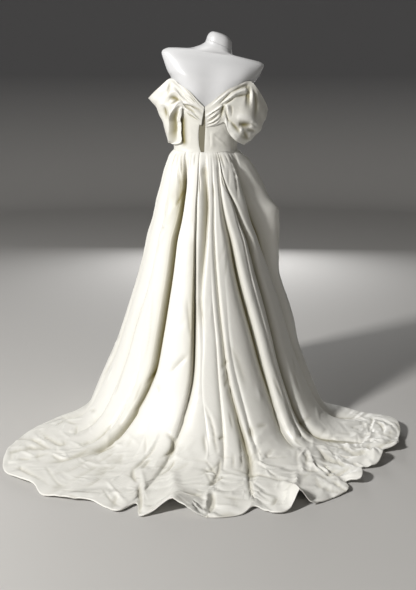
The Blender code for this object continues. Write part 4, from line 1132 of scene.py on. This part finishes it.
def skirt_base(turn, height):
    """The hanging skirt without its folds."""
    ring = read_row(SKIRT, height)
    from_hip = np.clip(signed(turn - RIGHT_HIP_TURN) / RIGHT_HIP_SPAN, -1, 1)
    hip = ring.right_hip * np.cos(np.radians(from_hip * 90)) ** 2
    angle = np.radians(turn)
    along = np.cos(angle)
    x = (ring.half_width + hip) * np.sin(angle)
    y = np.where(along > 0, ring.back, ring.front) * along
    return np.stack([x, y, height + 0 * x], axis=-1)


def skirt_across(turn, level):
    """Metres for one degree round the skirt at a level, whatever the turn."""
    hanging = np.interp(level, column(SKIRT, "height"), column(SKIRT, "half_width"))
    return math.radians(1) * (hanging + np.maximum(TRAIN_START - level, 0))


def fold_columns(number):
    return BACK_COLUMNS[number] if number < len(BACK_FOLDS) else HIDDEN_COLUMNS


def soften(points, row, spread, passes):
    """Round a bend that runs along one row of a grid."""
    weight = 0.5 * bell(np.arange(len(points)) - row, spread)[1:-1, None, None]
    for _ in range(passes):
        points[1:-1] += weight * (0.5 * (points[:-2] + points[2:]) - points[1:-1])
    return points


def all_round(make, grid):
    """Work on a grid whose last column repeats its first, with each seeing its neighbours on both sides."""
    padded = np.concatenate([grid[:, -2:-1], grid, grid[:, 1:2]], axis=1)
    return make(padded)[:, 1:-1]


def fold_tone(deep, off, reach):
    """The shade of a fold, at a distance from its line."""
    return np.clip(deep / TONE_DEPTH, 0, 1) ** 2 * np.exp(-((off / reach) ** TONE_FALL))


def troughs(here, there, heights, turn_a, turn_b, across):
    """How deep the cloth lies between two fold lines, how far it leans aside and its shade, by height."""
    room = ((turn_b - turn_a) * skirt_across(0, heights))[:, None]
    deep_a, deep_b = (smooth(heights, DEPTH_HEIGHTS, fold[DEPTHS])[:, None] / 1000 for fold in (here, there))
    open_a, open_b = (smooth(heights, OPEN_HEIGHTS, fold[OPENS])[:, None] / 1000 for fold in (here, there))
    wide_a = np.minimum(open_a * here.slope, MOST_OPEN * room)
    wide_b = np.minimum(open_b, MOST_OPEN * room)
    from_a, from_b = across * room / wide_a, (1 - across) * room / wide_b
    fall_a = GENTLE if here.slope > 1 else STEEP
    fall_b = STEEP if there.slope >= 1 else GENTLE
    depth = deep_a * np.exp(-(from_a**fall_a)) * (1 - across**3) ** 2
    depth = depth + deep_b * np.exp(-(from_b**fall_b)) * (1 - (1 - across) ** 3) ** 2
    lean = np.zeros(depth.shape)
    for deep, wide, off, other, leans in (
        (deep_a, wide_a, from_a, from_b, -(here.slope < 1)),
        (deep_b, wide_b, from_b, from_a, there.slope >= 1),
    ):
        if leans:
            depth = depth - LIP * deep * bell(off - LIP_PLACE, LIP_SPAN) * (1 - bell(other))
            most = np.minimum(LEAN * wide, MOST_LEAN * deep)
            lean = lean + leans * most * bell(off - LEAN_PLACE, LEAN_SPAN)
    depth += RIPPLE * np.minimum(deep_a, deep_b) * (0.5 + 0.5 * np.cos(math.tau * across))
    tone = fold_tone(deep_a, across * room, TONE_REACH)
    tone = tone + fold_tone(deep_b, (1 - across) * room, TONE_RIGHT * TONE_REACH)
    crowding = bell(room, CROWDED)
    return depth * (1 - CROWDED_DEPTH * crowding), lean * (1 - crowding), tone


def hanging_folds(heights):
    """For each column all round the skirt, its turn, depth, lean and painted shade at each height, its turn
    at the hem and the share of the train that its fold crosses. The last column repeats the first."""
    folds = all_folds()
    parts = []
    for number, (here, there) in enumerate(zip(folds, folds[1:])):
        steps = np.arange(fold_columns(number)) / fold_columns(number)
        across = steps - COLUMN_CROWDING * np.sin(math.tau * steps) / math.tau
        turn_a, turn_b = (smooth(heights, TURN_HEIGHTS, fold[TURNS]) for fold in (here, there))
        turn = turn_a[:, None] + (turn_b - turn_a)[:, None] * across
        hem = here.hem + (there.hem - here.hem) * across
        end = here.runs_out + (there.runs_out - here.runs_out) * across
        parts.append((turn, *troughs(here, there, heights, turn_a, turn_b, across), hem[None], end[None]))
    grids = [np.concatenate(grids, axis=1) for grids in zip(*parts)]
    turns, depths, leans, painted_shades, hems, ends = (np.concatenate([grid, grid[:, :1]], axis=1) for grid in grids)
    turns[:, -1] += 360
    hems[:, -1] += 360
    return turns, depths, leans, painted_shades, hems[0], ends[0]


def skirt_marks(turns, levels):
    """How far all the skirt's creases and marks lift or sink it at each place."""
    lowest, highest = HIDDEN_LEVELS
    marks = SKIRT_CREASES + TRAIN_CREASES
    marks += [crease._replace(start_across=crease.start_across + shift, end_across=crease.end_across + shift)
              for shift in HIDDEN_SHIFTS for crease in SKIRT_CREASES if lowest < crease.end_along < highest]
    for strewn in HANDLING:
        marks += handling_marks(strewn)
    return relief(turns, levels, marks, skirt_across) + relief(turns - 360, levels, marks, skirt_across)


def unit_level(vectors):
    """The same vectors, laid level and made one metre long."""
    vectors = vectors * (1, 1, 0)
    return vectors / np.maximum(np.linalg.norm(vectors, axis=-1, keepdims=True), TINY)


def skirt_grid():
    """The skirt's outer points all the way round, and each one's level and painted shade.

    A level is a height over the floor, and below TRAIN_START it goes on falling by the metres along it.
    """
    heights = WAIST + (TRAIN_START - WAIST) * np.linspace(0, 1, HANGING_ROWS)[:, None] ** ROW_SPREAD
    shares = np.linspace(0, 1, TRAIN_ROWS + 1)[1:, None]
    turns, depths, leans, painted_shades, hem_turns, ends = hanging_folds(heights[:, 0])
    hanging = skirt_base(turns, heights)
    hanging[..., 2] += (waist_height(turns) - WAIST) * ramp(heights, WAIST - FIRST_DROP, WAIST)
    for hollow in HOLLOWS:
        dent = bell(turns - hollow.turn, hollow.half_turn) * bell(heights - hollow.height, hollow.half_height)
        depths = depths + hollow.depth * dent
        painted_shades = painted_shades + hollow.tone * dent

    hem = read_row(HEM, signed(hem_turns))
    reach = hem.reach - HEM_ROLL
    angle = np.radians(hem_turns)
    run = np.stack([reach * np.sin(angle), reach * np.cos(angle), 0 * angle], axis=-1) - hanging[-1]
    train = hanging[-1] + run * shares[..., None]
    train[..., 2] = read_row(TRAIN, shares).crest
    base = soften(np.concatenate([hanging, train]), HANGING_ROWS, BEND_SPREAD, BEND_PASSES)
    levels = np.concatenate([heights + 0 * turns, TRAIN_START - shares * np.linalg.norm(run[:, :2], axis=-1)])
    turns = np.concatenate([turns, turns[-1:] + (hem_turns - turns[-1:]) * shares])
    fade = np.clip(1 - shares / ends, 0, 1) ** FOLD_FADE
    depths, leans, painted_shades = (np.concatenate([grid, grid[-1:] * fade]) for grid in (depths, leans, painted_shades))

    normals = all_round(grid_normals, base)
    upright = HANGING_ROWS - BEND_ROWS
    normals[:upright] = unit_level(normals[:upright])
    sideways = unit_level(all_round(lambda grid: np.gradient(grid, axis=1), base))
    outer = base - normals * depths[..., None] + sideways * leans[..., None]
    outer[HANGING_ROWS:, :, 2] += ramp(shares, HEM_LIFT_START, 1.0) * np.maximum(hem.lift, 0)
    marks = skirt_marks(turns, levels)
    outer += all_round(grid_normals, outer) * marks[..., None]
    outer[..., 2] = np.maximum(outer[..., 2], LOWEST)
    outer[:upright] = clear_of_body(outer[:upright], SKIRT_EASE + WALL)
    painted_shades = np.clip(painted_shades + np.clip(-marks / MARK_TONE, 0, MOST_MARK_TONE), 0, 1)

    away = unit_level(outer[-1] - outer[-1 - HEM_SLOPE_ROWS])
    rolls = [outer[-1] + HEM_ROLL * (away * math.sin(angle) - np.array([0, 0, 1 - math.cos(angle)]))
             for angle in np.radians(HEM_ROLL_ANGLES)]
    levels, painted_shades = (np.pad(grid, ((0, len(rolls)), (0, 0)), mode="edge") for grid in (levels, painted_shades))
    return np.concatenate([outer, rolls]), levels, painted_shades


skirt_points, skirt_levels, skirt_painted_shades = skirt_grid()
skirt_crumpled = LEAST_CRUMPLED + (1 - LEAST_CRUMPLED) * ramp(-skirt_levels, *CRUMPLED_LEVELS)
skirt_inner = skirt_points - all_round(grid_normals, skirt_points) * CLOTH
skirt_inner[..., 2] = np.maximum(skirt_inner[..., 2], LOWEST_INSIDE)
for gore in GORES:
    first, last = (sum(map(fold_columns, range(fold))) for fold in (gore.first_fold, gore.last_fold))
    # Each gore's slice of the painted shade goes to its shell as depth.
    outer, depth, inner, crumpled = (
        grid[:, first : last + 1] for grid in (skirt_points, skirt_painted_shades, skirt_inner, skirt_crumpled)
    )
    panel = cloth_shell("satin_" + gore.node, outer, depth, inner, crumpled=crumpled)
    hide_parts(gore.node)


# The studio: a round pale floor that sweeps up into a darker wall on every side, a strong light high on the
# picture's left, a weak one on its right, one for the gown's front, and the camera at the photo's place.

FLOOR_COLOUR = (0.60, 0.59, 0.575)
FLOOR_MOTTLE = 0.02
WALL_COLOUR = (0.17, 0.17, 0.175)  # darker, so that the shaded sleeve stands out from it
FLOOR_CENTRE = 0.01
FLOOR_RADIUS = 6.6
CURVE = 1.6
CURVE_STEPS = 12
WALL_TOP = 8.0
FLOOR_SIDES = 96
LIT_POINT = (AXIS_X, AXIS_Y + 0.2, 0.75)


def studio_paper():
    """Plain paper with faint clouds, which darkens where it rises into the wall."""
    made, finish, add = new_finish("studio_paper", FLOOR_COLOUR, 0.85)
    clouds = add("TexNoise", "Fac", Scale=3.0, Detail=4.0)
    darker, lighter = (
        (*(part * tone for part in FLOOR_COLOUR), 1) for tone in (1 - FLOOR_MOTTLE, 1 + FLOOR_MOTTLE)
    )
    floor = add("Mix", "Result", data_type="RGBA", Factor=clouds, A=darker, B=lighter)
    height = add("SeparateXYZ", "Z", Vector=add("TexCoord", "Object"))
    climb = add("MapRange", "Result", Value=height, From_Max=CURVE)
    finish(Base_Color=add("Mix", "Result", data_type="RGBA", Factor=climb, A=floor, B=(*WALL_COLOUR, 1)))
    return made


def sweep():
    """A plain round floor with a wall that rises from it in a curve, as one sheet."""
    profile = [(FLOOR_CENTRE, 0.0)]
    for angle in np.linspace(0, math.pi / 2, CURVE_STEPS + 1):
        profile.append((FLOOR_RADIUS + CURVE * math.sin(angle), CURVE - CURVE * math.cos(angle)))
    profile.append((FLOOR_RADIUS + CURVE, WALL_TOP))
    turns = [math.tau * side / FLOOR_SIDES for side in range(FLOOR_SIDES)]
    points = [(radius * math.cos(turn), radius * math.sin(turn), height)
              for radius, height in profile for turn in turns]
    faces = []
    for row in range(len(profile) - 1):
        for side in range(FLOOR_SIDES):
            here, there = row * FLOOR_SIDES + side, row * FLOOR_SIDES + (side + 1) % FLOOR_SIDES
            faces.append((here, here + FLOOR_SIDES, there + FLOOR_SIDES, there))
    mesh = bpy.data.meshes.new("studio_sweep")
    mesh.from_pydata(points, [], faces)
    mesh.shade_smooth()
    mesh.materials.append(studio_paper())
    return put("studio_sweep", mesh, 0, 0)


def soft_light(name, place, size, watts, colour=(1, 1, 1)):
    """A square light that faces the middle of the gown. Its place is measured from the form's axis."""
    lamp = bpy.data.lights.new(name, "AREA")
    lamp.size = size
    lamp.energy = watts
    lamp.color = colour
    made = put(name, lamp, AXIS_X + place[0], AXIS_Y + place[1], place[2])
    away = made.location - type(made.location)(LIT_POINT)
    made.rotation_euler = away.to_track_quat("Z", "Y").to_euler()


sweep()
soft_light("key", (3.8, 3.35, 3.6), 0.6, 340, (1.0, 0.985, 0.96))
soft_light("fill", (-1.2, 3.4, 2.6), 1.4, 6, (1.0, 0.95, 0.85))
soft_light("front", (-0.2, -3.6, 1.2), 1.2, 40)
world = bpy.data.worlds.new("studio")
world.use_nodes = True
air = world.node_tree.nodes["Background"]
air.inputs["Color"].default_value = (0.88, 0.86, 0.82, 1)
air.inputs["Strength"].default_value = 0.12
bpy.context.scene.world = world
bpy.context.scene.view_settings.view_transform = "Standard"

CAMERA_DISTANCE = 3.20
CAMERA_HEIGHT = 1.30
CAMERA_ASIDE = -0.010
CAMERA_TILT = 14.05
LENS_PIXELS = 788  # the focal length, in pixels of a picture 590 high
PICTURE_HEIGHT = 590
lens = bpy.data.cameras.new("camera")
lens.sensor_width = 36
lens.lens = lens.sensor_width * LENS_PIXELS / PICTURE_HEIGHT
camera = put("camera", lens, AXIS_X + CAMERA_ASIDE, AXIS_Y + CAMERA_DISTANCE, CAMERA_HEIGHT)
camera.rotation_euler = (math.radians(90 - CAMERA_TILT), 0, math.radians(180))
bpy.context.scene.camera = camera
